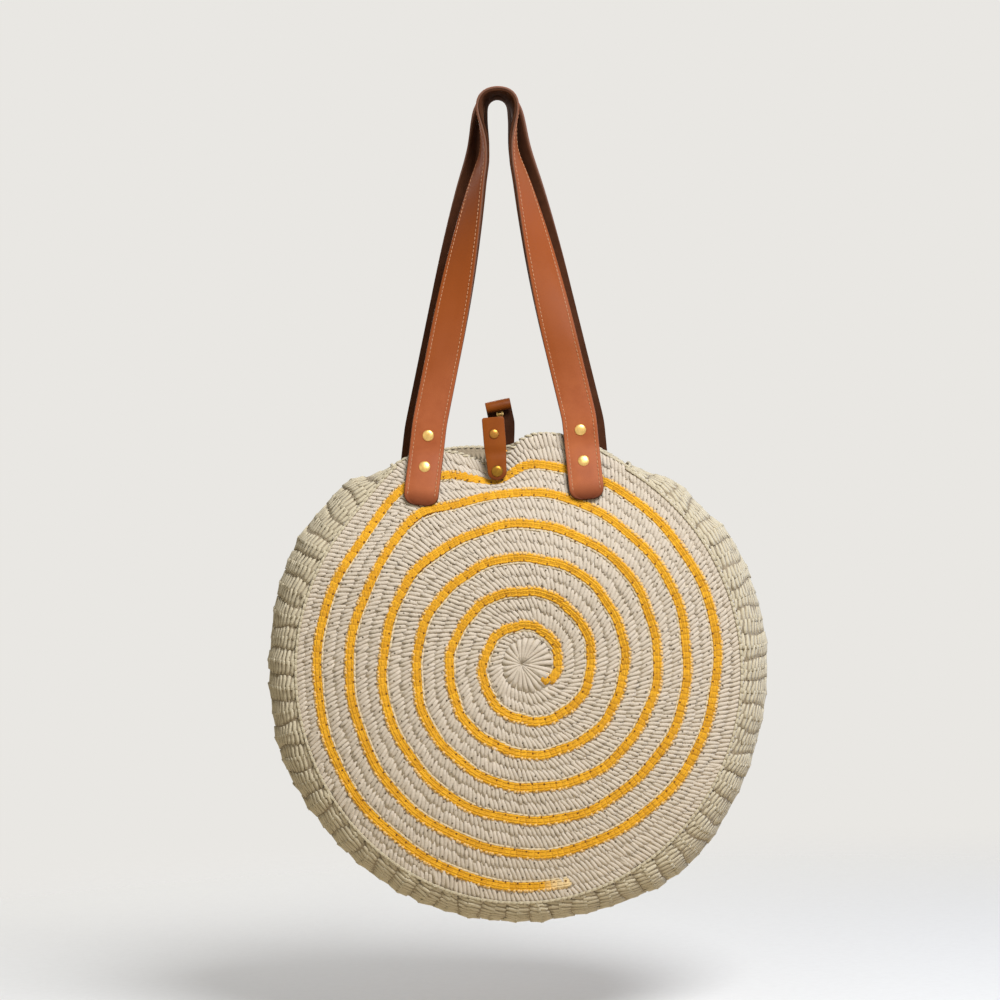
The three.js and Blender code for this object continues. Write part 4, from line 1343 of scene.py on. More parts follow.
# %% Sizes of a handle
STRAP_WIDTH = 28.0
LEATHER = 2.0  # thickness
BACKING = 1.6  # thickness of the suede
TIP_ROUND = 9.0  # length of the rounded part of a tip
END_LENGTH = 66.0  # from the tip to the line where the handle swings
BEND_RISE = 43.5  # where an end leaves the panel's slope and turns upright
END_LEAN = 7.0  # over its length, each end leans this far towards the other
END_TILT = 3.0  # and both lean this far to the right
NECK_DROP = 44.0  # below the hanging point, where the legs come together
ARCH_HALF = 14.0  # half the width of the arch over the hanging point
TOP_DEPTH = 14.5  # from the middle of the bag to a handle's top
TIP_CURL = 2.0  # how far a tip has bent in towards the panel
TIP_CURL_LENGTH = 14.0
# painted shade at the tips of the handles
TIP_SHADE = 0.85
FIRST_TIP_TURN = math.radians(8)  # a rounded tip starts with a short straight edge
TIP_FULLNESS = 0.6  # below 1, a rounded tip is blunter than a half circle
TWIST_EASE = 1.15  # the twist grows a little faster near the top
SMOOTHINGS = 5  # rounds of smoothing, which soften the corners of the route

StrapStation = namedtuple("StrapStation", "point along edge out width burnish")
print("a handle end is", END_LENGTH, "mm long and", STRAP_WIDTH, "mm wide")


# %% Curves through points
def through_points(points, steps=24):
    # A centripetal Catmull-Rom curve, as dense points.
    points = [np.array(p, dtype=float) for p in points]
    padded = [2 * points[0] - points[1], *points, 2 * points[-1] - points[-2]]
    dense = []
    for p0, p1, p2, p3 in zip(padded, padded[1:], padded[2:], padded[3:]):
        d0, d1, d2 = (math.sqrt(np.linalg.norm(b - a)) for a, b in ((p0, p1), (p1, p2), (p2, p3)))
        m1 = d1 * ((p1 - p0) / d0 - (p2 - p0) / (d0 + d1) + (p2 - p1) / d1)
        m2 = d1 * ((p2 - p1) / d1 - (p3 - p1) / (d1 + d2) + (p3 - p2) / d2)
        for t in np.linspace(0, 1, steps, endpoint=False):
            dense.append(
                (2 * t ** 3 - 3 * t ** 2 + 1) * p1 + (t ** 3 - 2 * t ** 2 + t) * m1
                + (3 * t ** 2 - 2 * t ** 3) * p2 + (t ** 3 - t ** 2) * m2
            )
    return dense + [points[-1]]


def evenly(points, spacing):
    points = np.array(points)
    reach = np.concatenate([[0], np.cumsum(np.linalg.norm(np.diff(points, axis=0), axis=1))])
    count = max(2, round(reach[-1] / spacing) + 1)
    wanted = np.linspace(0, reach[-1], count)
    return np.stack([np.interp(wanted, reach, points[:, k]) for k in range(3)], axis=1)


corner = through_points([(0, 0, 0), (10, 0, 0), (10, 0, 10)])
print("points on a curve round a corner:", len(evenly(corner, 1.0)))


# %% The route of a handle
def end_x(leg_x, hand, rise):
    return leg_x + (END_TILT - hand * END_LEAN) * rise / END_LENGTH


def end_line(side, leg_x, hand):
    # From the tip of a handle end up to the line where the handle swings.
    line = []
    for rise in np.linspace(0, END_LENGTH, 30):
        depth = side.tip_depth + (side.flex_depth - side.tip_depth) * min(1.0, rise / BEND_RISE)
        z = side.flex_z - END_LENGTH + rise
        line.append(np.array([end_x(leg_x, hand, rise), side.sign * depth, z]))
    return line


def free_half(side, foot, hand):
    neck = np.array([hand * side.neck_half, side.sign * TOP_DEPTH, -NECK_DROP])
    between = [foot + share * (neck - foot) for share in (0.3, 0.6, 0.85)]
    arch = []
    for turn in (math.pi / 2, math.pi / 4):
        x = hand * ARCH_HALF * math.sin(turn)
        z = BACKING + FIT / 2 - ARCH_HALF * (1 - math.cos(turn))
        arch.append(np.array([x, side.sign * TOP_DEPTH, z]))
    return [foot, *between, neck, *arch]


print("the front left leg swings at", end_line(FRONT, FRONT.legs[0], -1)[-1])


# %% Stations along a handle
def handle_stations(side, spacing=2.5):
    left_end, right_end = (end_line(side, leg, hand) for leg, hand in zip(side.legs, HANDS))
    apex = np.array([0, side.sign * TOP_DEPTH, BACKING + FIT / 2])
    free = through_points([
        *free_half(side, left_end[-1], -1), apex, *reversed(free_half(side, right_end[-1], 1)),
    ])
    line = evenly([*left_end, *free[1:-1], *reversed(right_end)], spacing)
    for _ in range(SMOOTHINGS):
        line[1:-1] = (line[:-2] + 2 * line[1:-1] + line[2:]) / 4
    top = int(np.argmax(line[:, 2]))
    stations = []
    for i, point in enumerate(line):
        along = unit(line[min(i + 1, len(line) - 1)] - line[max(i - 1, 0)])
        risen = min(max(1 + point[2] / side.twist_start, 0.0), 1.0)
        beside = min(1.0, abs(point[0]) / ARCH_HALF)
        twist = math.radians(90 + beside * (side.arch_twist * risen ** TWIST_EASE - 90))
        towards_loop = 1 if i < top else -1
        edge = np.array([towards_loop * math.cos(twist), side.sign * math.sin(twist), 0])
        edge = unit(edge - along * np.dot(edge, along))
        out = unit(np.cross(edge, along)) * -side.sign
        stations.append(StrapStation(point, along, edge, out, STRAP_WIDTH, 0.0))
    return finished_tips(rounded_tips(stations, spacing))


def rounded_tips(stations, spacing):
    # Close stations near both tips, where the width runs out in a half oval.
    last = (len(stations) - 1) * spacing
    middle = [s for i, s in enumerate(stations) if TIP_ROUND < i * spacing < last - TIP_ROUND]
    tips = []
    for end, inward in ((stations[0], 1), (stations[-1], -1)):
        tip = []
        for turn in np.linspace(FIRST_TIP_TURN, math.pi / 2, 10):
            height = TIP_ROUND * (1 - math.cos(turn))
            point = end.point + inward * end.along * height
            tip.append(end._replace(point=point, width=STRAP_WIDTH * math.sin(turn) ** TIP_FULLNESS))
        tips.append(tip)
    return [*tips[0], *middle, *reversed(tips[1])]


def finished_tips(stations):
    # The last of each tip has bent in towards the panel, and painted shade darkens it there.
    ends = stations[0].point, stations[-1].point
    finished = []
    for station in stations:
        away = min(np.linalg.norm(station.point - end) for end in ends)
        near = max(0.0, 1 - away / TIP_CURL_LENGTH)
        bent = station.point - TIP_CURL * near ** 2 * station.out
        finished.append(station._replace(point=bent, burnish=TIP_SHADE * near ** 1.3))
    return finished


routes = {side.name: handle_stations(side) for side in SIDES}
print("stations on each handle:", {name: len(route) for name, route in routes.items()})

# %% [markdown]
# A strap's section is a flat band with softened corners. Beside the sewn line the thread pulls
# a shallow groove into the leather and the middle stays a little full, so light slides over it.
# A bump could draw the groove, but as part of the section it is a real shape.
# Attributes mark the cut sides of the leather, which are duller than its face, the tips that take painted
# shade and the free length, which hands have oiled.

# %% Leather and suede of the handles
HANDLED_MOST = 0.8
HANDLED_FROM, HANDLED_TO = -275.0, -205.0  # heights over which that sets in, above the rivets


def leather_section(width):
    # Pairs of distance across and distance out; the inner face comes last.
    half = width / 2
    soft = min(0.7, 0.25 * half)
    groove = min(3.0, 0.4 * half)
    low, high = FIT / 2, FIT / 2 + LEATHER
    right = [
        (half, low), (half, high - 0.8), (half - 0.3 * soft, high - 0.25), (half - soft, high),
        (half - 0.7 * groove, high + 0.05), (half - groove, high - 0.15),
        (half - 1.35 * groove, high + 0.08), (0.3 * half, high + 0.25),
    ]
    left = [(-across, out) for across, out in reversed(right)]
    return right + left, {0: 1.0, 1: 1.0, 2: 0.5, 13: 0.5, 14: 1.0, 15: 1.0}


def suede_section(width):
    half = width / 2
    low, high = -FIT / 2, -FIT / 2 - BACKING
    right = [(half, low), (half, high + 0.5), (half - 0.15 * min(half, 3), high), (0.3 * half, high - 0.1)]
    return right + [(-across, out) for across, out in reversed(right)], {}


def sweep(name, stations, section, material):
    # A section gives its outline and which of its points lie on a cut side.
    points, cut, burnish, handled = [], [], [], []
    for station in stations:
        outline, edges = section(station.width)
        points += [station.point + a * station.edge + o * station.out for a, o in outline]
        cut += [edges.get(k, 0.0) for k in range(len(outline))]
        burnish += [station.burnish] * len(outline)
        oiled = HANDLED_MOST * smoothstep(station.point[2], HANDLED_FROM, HANDLED_TO)
        handled += [oiled] * len(outline)
    size = len(points) // len(stations)
    faces = ring_faces(len(stations), size) + end_lids(len(stations), size)
    values = {"cut_edge": cut, "burnish": burnish, "handled": handled}
    return make_piece(name, points, faces, [material], values=values)


handle_leather, handle_suede = {}, {}
for side in SIDES:
    route = routes[side.name]
    handle_leather[side.name] = sweep(f"{side.name}_handle_leather", route, leather_section, leather)
    handle_suede[side.name] = sweep(f"{side.name}_handle_suede", route, suede_section, suede)
    print(side.name, "handle:", len(handle_leather[side.name].data.polygons), "leather faces")

# %% [markdown]
# Two lines of pale thread run along each handle, three millimetres from its edges.
# Each stitch is a small rounded bar that dips into the leather at both ends. Sewing repeats along
# a path as crochet does, so the same tree lays it.

# %% Sewing thread
THREAD_PITCH = 3.4
THREAD_INSET = 3.0
THREAD_SUNK = 0.1  # how deep the thread lies in the leather
bar_path = ((-1.35, 0, -0.25), (-0.8, 0, 0.15), (0.8, 0, 0.15), (1.35, 0, -0.25))
bar_radii = (0.25, 0.34, 0.34, 0.25)
thread_bar = make_stitch("thread_bar", [(bar_path, bar_radii)])


def thread_runs(route):
    # The thread stops where a tip begins to narrow.
    runs = []
    whole = [s for s in route if s.width > STRAP_WIDTH - 0.1]
    for hand in HANDS:
        run = []
        for station in whole:
            point = station.point + hand * (STRAP_WIDTH / 2 - THREAD_INSET) * station.edge
            lifted = point + (FIT / 2 + LEATHER - THREAD_SUNK) * station.out
            run.append(Station(lifted, station.out, station.edge, 1, 0))
        runs.append(run)
    return runs


handle_thread = {
    side.name: lay_stitches(
        f"{side.name}_handle_thread", thread_runs(routes[side.name]), thread_bar,
        spacing=THREAD_PITCH, yarn=thread, seed=23, sway=0.03,
    )
    for side in SIDES
}

# %% [markdown]
# The closure is a short tab on the front edge and a longer strap on the rear one, whose tip has
# curled over towards the mouth. Both are single straps of the same leather with a dark inner face,
# so each is swept in one go, and the faces of its inner side take the suede.
# The curl is an arc of a circle: enough for so short a strap, and easy to size.

# %% Sizes of the closure's tab and strap
TAB = 2.4  # thickness
SKIVED = 1.2  # thickness at the bend, where the leather is pared
TAB_ROUND = 7.0  # length of the rounded part of a riveted end
CURL_RADIUS = 3.8
CURL_TAIL = 2.5  # straight again after the curl
TAB_TAPER = 2.5  # how much narrower a tab is at its riveted end
TAB_FULL_RISE = 10.0  # it has its full width this far above its bend
# painted shade at the riveted end of a tab
TAB_TIP_SHADE = 0.7
TAB_TIP_SHADE_LENGTH = 8.0
SKIVE_LENGTH = 6.0  # the pared leather is full again this far from the bend
TOP_ROUND_ACROSS = 4.0  # the corners at the free end of the front tab
TOP_ROUND_UP = 2.0
LEAN_EASE = 4.0  # the closure strap bends into its lean over twice this height
Tab = namedtuple("Tab", "name side x width inner tip_z flex_z length curl lean pivot_z")
FRONT_TAB = Tab(
    name="front_tab", side=FRONT, x=-13.0, width=18.0, inner=33.64, tip_z=-316.14, flex_z=-293.88,
    length=27.0, curl=0.0, lean=math.radians(2.5), pivot_z=-272.0,
)
CLOSURE_STRAP = Tab(
    name="closure_strap", side=REAR, x=-6.0, width=21.0, inner=30.92, tip_z=-301.26, flex_z=-279.0,
    length=25.0, curl=math.radians(200), lean=math.radians(10), pivot_z=-268.0,
)
print("widths of the tab and the strap:", FRONT_TAB.width, CLOSURE_STRAP.width)


# %% The route of a tab
def tab_section(width, thin):
    half, low, high = width / 2, -TAB / 2 * thin, TAB / 2 * thin
    soft = min(0.6, 0.3 * half)
    right = [
        (half, low + 0.2), (half, high - 0.7 * thin), (half - 0.3 * soft, high - 0.2),
        (half - soft, high), (0.4 * half, high + 0.12),
    ]
    left = [(-across, out) for across, out in reversed(right)]
    return right + left, {0: 1.0, 1: 1.0, 8: 1.0, 9: 1.0}


def leant(tab, point):
    # A tab hangs a little askew: turned about a place on its middle line, seen from the front.
    # The closure strap is held at its rivet, so only what is above that place leans.
    turn = tab.lean
    if tab is CLOSURE_STRAP:
        turn *= smoothstep(point[2], tab.pivot_z - LEAN_EASE, tab.pivot_z + LEAN_EASE)
    rise, beside = point[2] - tab.pivot_z, point[0] - tab.x
    x = tab.x + beside * math.cos(turn) - rise * math.sin(turn)
    z = tab.pivot_z + beside * math.sin(turn) + rise * math.cos(turn)
    return np.array([x, point[1], z])


def tab_station(tab, depth, z, width, turn=0.0):
    # The turn is how far the strap has curled over; the riveted end is the tip that takes painted shade.
    sign = tab.side.sign
    point = np.array([tab.x, sign * depth, z])
    edge = np.array([1.0, 0.0, 0.0])
    out = np.array([0.0, sign * math.cos(turn), math.sin(turn)])
    along = np.array([0.0, -sign * math.sin(turn), math.cos(turn)])
    near = max(0.0, 1 - (z - tab.tip_z) / TAB_TIP_SHADE_LENGTH) if not turn else 0.0
    return StrapStation(point, along, edge, out, width, TAB_TIP_SHADE * near)


def tab_route(tab):
    middle = tab.inner + TAB / 2
    top = tab.flex_z + tab.length
    stations = []
    for turn in np.linspace(FIRST_TIP_TURN, math.pi / 2, 9):
        z = tab.tip_z + TAB_ROUND * (1 - math.cos(turn))
        stations.append(tab_station(tab, middle, z, (tab.width - TAB_TAPER) * math.sin(turn)))
    for z in np.linspace(tab.tip_z + TAB_ROUND, top, 24)[1:]:
        narrowed = TAB_TAPER * (1 - smoothstep(z, tab.tip_z + TAB_ROUND, tab.flex_z + TAB_FULL_RISE))
        stations.append(tab_station(tab, middle, z, tab.width - narrowed))
    if tab.curl:
        for turn in np.linspace(0, tab.curl, 20)[1:]:
            depth = middle - CURL_RADIUS * (1 - math.cos(turn))
            stations.append(tab_station(tab, depth, top + CURL_RADIUS * math.sin(turn), tab.width, turn))
        curled = stations[-1]
        stations.append(curled._replace(point=curled.point + CURL_TAIL * curled.along))
    else:
        for turn in np.linspace(0, math.radians(80), 6)[1:]:
            width = tab.width - TOP_ROUND_ACROSS * (1 - math.cos(turn))
            stations.append(tab_station(tab, middle, top + TOP_ROUND_UP * math.sin(turn), width))
    return stations


print("stations on the front tab:", len(tab_route(FRONT_TAB)))


# %% Sweep the tab and the strap
def sweep_tab(tab):
    # The leather is pared thin about the bend, so each station has its own thickness.
    stations = tab_route(tab)
    points, cut, burnish = [], [], []
    for station in stations:
        away = abs(station.point[2] - tab.flex_z)
        thin = SKIVED / TAB + (1 - SKIVED / TAB) * smoothstep(away, 0, SKIVE_LENGTH)
        outline, edges = tab_section(station.width, thin)
        points += [leant(tab, station.point + a * station.edge + o * station.out) for a, o in outline]
        cut += [edges.get(k, 0.0) for k in range(len(outline))]
        burnish += [station.burnish] * len(outline)
    size = len(points) // len(stations)
    faces = ring_faces(len(stations), size)
    slots = [1 if k % size == size - 1 else 0 for k in range(len(faces))]
    faces += end_lids(len(stations), size)
    piece = make_piece(
        f"{tab.name}_leather", points, faces, [tab_hide, suede],
        values={"cut_edge": cut, "burnish": burnish}, slots=slots + [0, 0],
    )
    print(piece.name, len(piece.data.polygons), "faces")
    return piece


tab_leather = {tab.name: sweep_tab(tab) for tab in (FRONT_TAB, CLOSURE_STRAP)}

# %% [markdown]
# Brass rivets hold the handles and tabs, and a snap closes the two tabs. A rivet shows a domed cap
# outside and a flat base inside. Bevelled cylinders would come close, but a turned profile also
# gives the dome's rim and the hollow of the socket. Each kind is turned once, and a second tree
# stands a copy on every place, facing the way the leather faces there.

# %% A tree that sets fasteners
def turned_shape(name, profile, sides=24):
    turns = np.linspace(0, TURN, sides, endpoint=False)
    points = [np.array([r * math.cos(turn), r * math.sin(turn), z]) for r, z in profile for turn in turns]
    faces = ring_faces(len(profile), sides) + end_lids(len(profile), sides)
    return make_piece(name, points, faces, [])


def fastener_tree():
    tree, given = new_tree("fasteners_on_places", {
        "Fastener": "NodeSocketObject", "Finish": "NodeSocketMaterial",
    })
    places = add_node(tree, "GeometryNodeMeshToPoints", {"Mesh": given["Geometry"]})
    shape = add_node(tree, "GeometryNodeObjectInfo", {"Object": given["Fastener"], "As Instance": True})
    laid = add_node(tree, "GeometryNodeInstanceOnPoints", {
        "Points": places.outputs[0], "Instance": shape.outputs["Geometry"],
        "Rotation": point_turn(tree).outputs[0],
    })
    finish_tree(tree, laid.outputs[0], given["Finish"])
    return tree


fasteners = fastener_tree()
print(fasteners.name, "has", len(fasteners.nodes), "nodes")


def set_fasteners(name, pins, shape, finish):
    up = np.array([0.0, 0.0, 1.0])
    places = [[Station(point, out, unit(up - out * out[2]), 1, 0)] for point, out in pins]
    return made_by_nodes(name, line_object(places), fasteners, {"Fastener": shape, "Finish": finish})


# %% Rivets and snaps, turned from their profiles
RIVET = 4.7  # radius of a handle rivet
SNAP = 4.0  # radius of a snap cap
RIVET_DOME, SNAP_DOME = 0.75, 0.85  # height of a cap, as a share of the dome's
BASE_HALF = 0.75  # half the height of a rivet's base
# Profiles are pairs of radius and height, from the middle of the top round to that of the underside.
# The dome and the disc give their radius as a share of the rivet's.
dome = [
    (0.05, 2.2), (0.25, 2.17), (0.5, 2.0), (0.72, 1.68),
    (0.88, 1.2), (0.97, 0.7), (1.0, 0.35), (0.97, 0.02),
]
disc = [
    (0.05, 1.5), (0.3, 1.5), (0.36, 1.25), (0.8, 1.3),
    (0.95, 1.0), (1.0, 0.5), (0.98, 0.0), (0.05, 0.0),
]
socket_profile = [
    (0.05, 1.5), (2.3, 1.5), (2.5, 3.0), (3.0, 3.2),
    (3.6, 2.9), (4.0, 2.2), (4.0, 0.0), (0.05, 0.0),
]
stud_profile = [
    (0.05, 3.1), (1.0, 3.0), (1.8, 2.3), (1.5, 1.5),
    (2.6, 1.4), (3.1, 0.9), (3.1, 0.0), (0.05, 0.0),
]
cap_shape = turned_shape("rivet_cap", [(r * RIVET, RIVET_DOME * z) for r, z in dome] + [(0.05, 0.0)])
snap_shape = turned_shape("snap_cap", [(r * SNAP, SNAP_DOME * z) for r, z in dome] + [(0.05, 0.0)])
base_shape = turned_shape("rivet_base", [(r * RIVET, z) for r, z in disc])
socket_shape = turned_shape("snap_socket", socket_profile)
stud_shape = turned_shape("snap_stud", stud_profile)
print("faces of a rivet cap:", len(cap_shape.data.polygons))


# %% Rivets in their places
def middle_of(node):
    low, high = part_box(node)
    return (np.array(low) + np.array(high)) / 2 / MM


LEGS = ("left", "right")
RIVET_RISES = {"upper": 56.0, "lower": 31.0}  # above the tip of a handle end
TAB_RIVET_RISE = 7.5
CAP_CLEARANCE = 0.1  # between a handle's cap and its leather


def rivet_pins(side):
    caps, bases = [], []
    slope = (side.flex_depth - side.tip_depth) / BEND_RISE
    for leg, hand, name in zip(side.legs, HANDS, LEGS):
        for place, rise in RIVET_RISES.items():
            depth = side.tip_depth + slope * min(rise, BEND_RISE)
            z = side.flex_z - END_LENGTH + rise
            out = unit(np.array([0.0, side.sign, -slope if rise < BEND_RISE else 0.0]))
            point = np.array([end_x(leg, hand, rise), side.sign * (depth + FIT / 2 + LEATHER), z])
            caps.append((point + CAP_CLEARANCE * out, out))
            node = f"{side.name}_{name}_{place}_rivet_base"
            bases.append((middle_of(node) + BASE_HALF * out, -out))
    return caps, bases


caps, tab_caps, bases = [], [], []
for side, tab in ((FRONT, FRONT_TAB), (REAR, CLOSURE_STRAP)):
    side_caps, side_bases = rivet_pins(side)
    out = np.array([0.0, side.sign, 0.0])
    outer_face = side.sign * (tab.inner + TAB)
    tab_caps.append((leant(tab, np.array([tab.x, outer_face, tab.tip_z + TAB_RIVET_RISE])), out))
    side_bases.append((middle_of(f"{tab.name}_rivet_base") + BASE_HALF * out, -out))
    caps += side_caps
    bases += side_bases
rivet_caps = set_fasteners("rivet_caps", caps, cap_shape, brass)
tab_rivet_caps = set_fasteners("tab_rivet_caps", tab_caps, cap_shape, dull_brass)
rivet_bases = set_fasteners("rivet_bases", bases, base_shape, aged_brass)
print("handle rivets:", len(caps), "bases:", len(bases))


# %% Snaps in their places
def snap_parts(tab, rise, inner_shape, inner_name):
    out = np.array([0.0, tab.side.sign, 0.0])
    z = tab.flex_z + rise
    outer = leant(tab, np.array([tab.x, tab.side.sign * (tab.inner + TAB), z]))
    inner = leant(tab, np.array([tab.x, tab.side.sign * tab.inner, z]))
    cap = set_fasteners(f"{tab.name}_snap", [(outer, out)], snap_shape, aged_brass)
    back = set_fasteners(f"{tab.name}_{inner_name}", [(inner, -out)], inner_shape, brass)
    return cap, back


front_snap = snap_parts(FRONT_TAB, rise=15.5, inner_shape=socket_shape, inner_name="socket")
closure_snap = snap_parts(CLOSURE_STRAP, rise=18.5, inner_shape=stud_shape, inner_name="stud")

# %% [markdown]
# The models that were only copied from, one stitch or one rivet of each kind, are taken away.
# Then each piece hides the solids it stands for, and each piece but a strap is attached to the body it moves
# with. A strap cut at its hinge would gape when it swings, so straps are whole; they are fixed in place, and
# no bend between two bodies is set up.

# %% Take the models away
models = (
    short_stitch, band_stitch, star_stitch, chain_stitch, seam_stitch, edge_stitch,
    yellow_stitch, finger_stitch, hole_plug, yellow_plug, thread_bar,
    cap_shape, snap_shape, base_shape, socket_shape, stud_shape,
)
for model in models:
    bpy.data.objects.remove(model)
print("models taken away:", len(models))

# %% Join the pieces to the frame
HANDLE_BEND = 5.0  # a span above and below a hinge for a strap's bend; nothing here applies the bend
TAB_BEND = 3.0
HANDLES_X = -7.0  # the middle between the legs of a handle


def join(piece, body=None, nodes=(), bend=None):
    if bend:
        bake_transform(piece)
    else:
        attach(piece, body)
    if nodes:
        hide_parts(*nodes)


def bend_between(swinging, x, depth, flex_z, reach):
    low = (x * MM, depth * MM, (flex_z - reach) * MM)
    high = (x * MM, depth * MM, (flex_z + reach) * MM)
    return "bag", swinging, low, high


objects = bpy.data.objects
for side in SIDES:
    name = side.name
    join(panel_cores[name], "bag", [f"{name}_panel"])
    for part in ("cream_rows", "centre_star", "chain_line", "cream_holes", "mouth_edging"):
        join(objects[f"{name}_{part}"], "bag")
    join(objects[f"{name}_yellow_row"], "bag", [f"{name}_spiral_row"])
    for part in ("yellow_band", "yellow_fingers", "yellow_holes"):
        join(objects[f"{name}_{part}"], "bag")
    join(objects[f"{name}_seam_chain"], "bag", [f"{name}_seam"])
    hinge_depth = side.sign * side.flex_depth
    bend = bend_between(f"{name}_handle", HANDLES_X, hinge_depth, side.flex_z, HANDLE_BEND)
    parts = [f"{name}_handle_strap", f"{name}_handle_left_end", f"{name}_handle_right_end"]
    join(handle_leather[name], nodes=parts, bend=bend)
    join(handle_suede[name], nodes=[f"{part}_backing" for part in parts], bend=bend)
    join(handle_thread[name], bend=bend)

join(objects["side_band_cloth"], "bag", ["side_band"])
for part in ("side_band_rows", "side_band_holes", "band_end_edging"):
    join(objects[part], "bag")
rivet_names = [
    f"{side.name}_{leg}_{place}_rivet" for side in SIDES for leg in LEGS for place in RIVET_RISES
]
tab_rivet_names = ["front_tab_rivet", "closure_strap_rivet"]
join(rivet_caps, "bag", rivet_names)
join(tab_rivet_caps, "bag", tab_rivet_names)
join(rivet_bases, "bag", [f"{name}_base" for name in rivet_names + tab_rivet_names])
for tab, (cap, back), inner in (
    (FRONT_TAB, front_snap, "snap_socket"), (CLOSURE_STRAP, closure_snap, "snap_stud"),
):
    bend = bend_between(tab.name, tab.x, tab.side.sign * tab.inner, tab.flex_z, TAB_BEND)
    join(tab_leather[tab.name], nodes=[f"{tab.name}_end", f"{tab.name}_flap"], bend=bend)
    join(cap, tab.name, [f"{tab.name}_snap_cap"])
    join(back, tab.name, [f"{tab.name}_{inner}"])

# %% [markdown]
# The bag is shown as in a small studio: a pale floor below it, a large soft light in front on the
# upper right, a cool one from the right side, a weak warm fill from the left, one behind the bag and
# an even, dim surround. One bright surround would be simpler, but would leave the stitches flat.
# The floor fades out with distance, so that it meets the pale background without a line.
# It keeps the bag's shadow and throws a little warm light back up.

# %% Paint of the floor
FLOOR_CLEAR_FROM, FLOOR_CLEAR_TO = 0.8, 1.6  # metres from the hanging point, where the floor fades


def ray_seen(tree):
    # 1 for what the camera sees, also in a mirror or through glass, and 0 for light on its way.
    rays = add_node(tree, "ShaderNodeLightPath")
    seen = add_node(
        tree, "ShaderNodeMath",
        {0: rays.outputs["Is Camera Ray"], 1: rays.outputs["Is Glossy Ray"]}, operation="MAXIMUM",
    )
    through = add_node(
        tree, "ShaderNodeMath",
        {0: seen.outputs[0], 1: rays.outputs["Is Transmission Ray"]}, operation="MAXIMUM",
    )
    return through.outputs[0]


def floor_material():
    # Matt painted board, with a faint roller texture. It throws back a little warm light only,
    # so the lower half of the bag stays in its own shade.
    material, tree, shader = new_material("matt_painted_board")
    place = add_node(tree, "ShaderNodeTexCoord")
    roller = add_node(
        tree, "ShaderNodeTexNoise",
        {"Vector": place.outputs["Object"], "Scale": 1 / (6 * MM), "Detail": 2.0},
    )
    paint = add_node(
        tree, "ShaderNodeMix",
        {"Factor": roller.outputs["Fac"], "A": linear("#e6e4e0"), "B": linear("#ecebe7")}, data_type="RGBA",
    )
    bounced = add_node(
        tree, "ShaderNodeMix",
        {"Factor": ray_seen(tree), "A": linear("#c8bca4"), "B": paint.outputs["Result"]}, data_type="RGBA",
    )
    away = add_node(tree, "ShaderNodeVectorMath", {0: place.outputs["Object"]}, operation="LENGTH")
    clear = add_node(
        tree, "ShaderNodeMapRange",
        {"Value": away.outputs["Value"], "From Min": FLOOR_CLEAR_FROM, "From Max": FLOOR_CLEAR_TO},
        interpolation_type="SMOOTHSTEP",
    )
    tree.links.new(bounced.outputs["Result"], shader.inputs["Base Color"])
    shader.inputs["Roughness"].default_value = 0.8
    nothing = add_node(tree, "ShaderNodeBsdfTransparent")
    fade = add_node(
        tree, "ShaderNodeMixShader",
        {0: clear.outputs["Result"], 1: shader.outputs[0], 2: nothing.outputs[0]},
    )
    tree.links.new(fade.outputs[0], tree.nodes["Material Output"].inputs["Surface"])
    return material


floor_paint = floor_material()
print("floor finish:", floor_paint.name)

# %% Floor
FLOOR_Z = -0.76
FLOOR_RADIUS = 1.7
ring = []
for turn in np.linspace(0, TURN, 96)[:-1]:
    ring.append(np.array([FLOOR_RADIUS * math.cos(turn), FLOOR_RADIUS * math.sin(turn), FLOOR_Z]) / MM)
floor = make_piece("floor", ring, [tuple(range(len(ring)))], [floor_paint])
print("floor:", floor.name, "at", FLOOR_Z, "m")

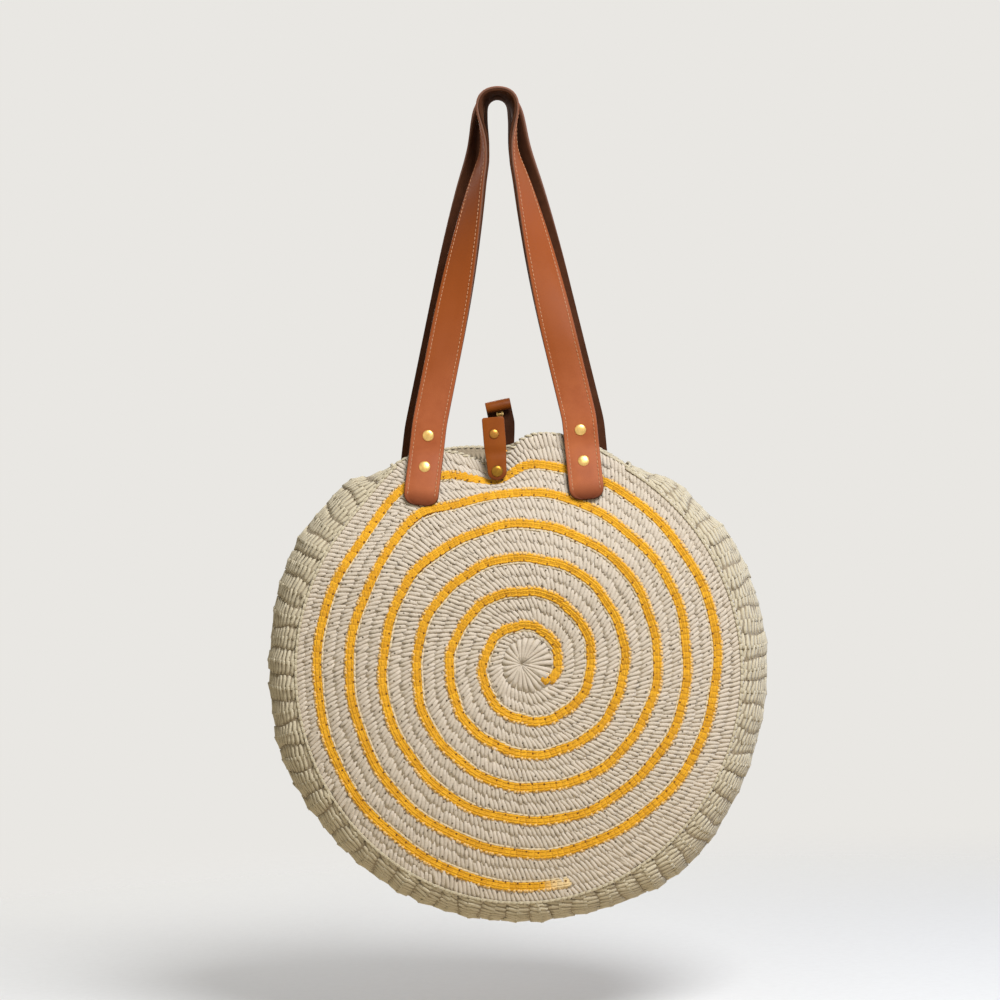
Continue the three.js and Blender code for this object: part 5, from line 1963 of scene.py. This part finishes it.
# %% Background
PALE = "#e9e7e3"
SURROUND = 0.26  # strength of the surround as a light; it is seen at full strength
world = bpy.data.worlds.new("pale_surround")
world.use_nodes = True
bpy.context.scene.world = world
sky = world.node_tree
strength = add_node(
    sky, "ShaderNodeMapRange", {"Value": ray_seen(sky), "To Min": SURROUND, "To Max": 1.0},
)
background = sky.nodes["Background"]
background.inputs["Color"].default_value = linear(PALE)
sky.links.new(strength.outputs["Result"], background.inputs["Strength"])
print("background:", PALE)

# %% Lights
BAG_MIDDLE = (0, 0, -0.4)


def soft_light(name, place, aim, size, power, tint="#ffffff"):
    lamp = bpy.data.lights.new(name, "AREA")
    lamp.shape = "DISK"
    lamp.size = size
    lamp.energy = power
    lamp.color = linear(tint)[:3]
    light = bpy.data.objects.new(name, lamp)
    light.location = place
    direction = np.array(aim) - np.array(place)
    flat = math.hypot(direction[0], direction[1])
    tilt = math.pi / 2 + math.atan2(direction[2], flat)
    light.rotation_euler = (tilt, 0, math.atan2(-direction[0], direction[1]))
    bpy.context.scene.collection.objects.link(light)


soft_light("key_light", (0.6, -1.25, 0.95), aim=(0, 0, -0.3), size=0.9, power=44, tint="#f7faff")
soft_light("side_light", (2.2, 0.3, -0.1), aim=BAG_MIDDLE, size=1.2, power=15, tint="#a4c2ff")
soft_light("fill_light", (-2.0, -1.6, 0.1), aim=BAG_MIDDLE, size=1.6, power=3, tint="#fff0a0")
soft_light("back_light", (-0.6, 2.2, 0.7), aim=BAG_MIDDLE, size=1.4, power=26)
print("soft lights:", len(bpy.data.lights))

# %% [markdown]
# The camera stands level with the upper part of the bag, a little over two metres in front of it,
# with a long lens, because a short one from close by would swell the front panel. It is turned
# two degrees about its own axis, because the bag hangs a little askew in the frame.

# %% Camera
CAMERA_DISTANCE = 2.4
camera_data = bpy.data.cameras.new("camera")
camera_data.lens = 105.4
camera_data.sensor_width = 36.0
camera = bpy.data.objects.new("camera", camera_data)
camera.location = (-0.010, -CAMERA_DISTANCE, -0.332)
camera.rotation_euler = (math.pi / 2, math.radians(2.16), 0)
bpy.context.scene.collection.objects.link(camera)
bpy.context.scene.camera = camera
bpy.context.scene.view_settings.view_transform = "Standard"
print("camera at", tuple(camera.location))
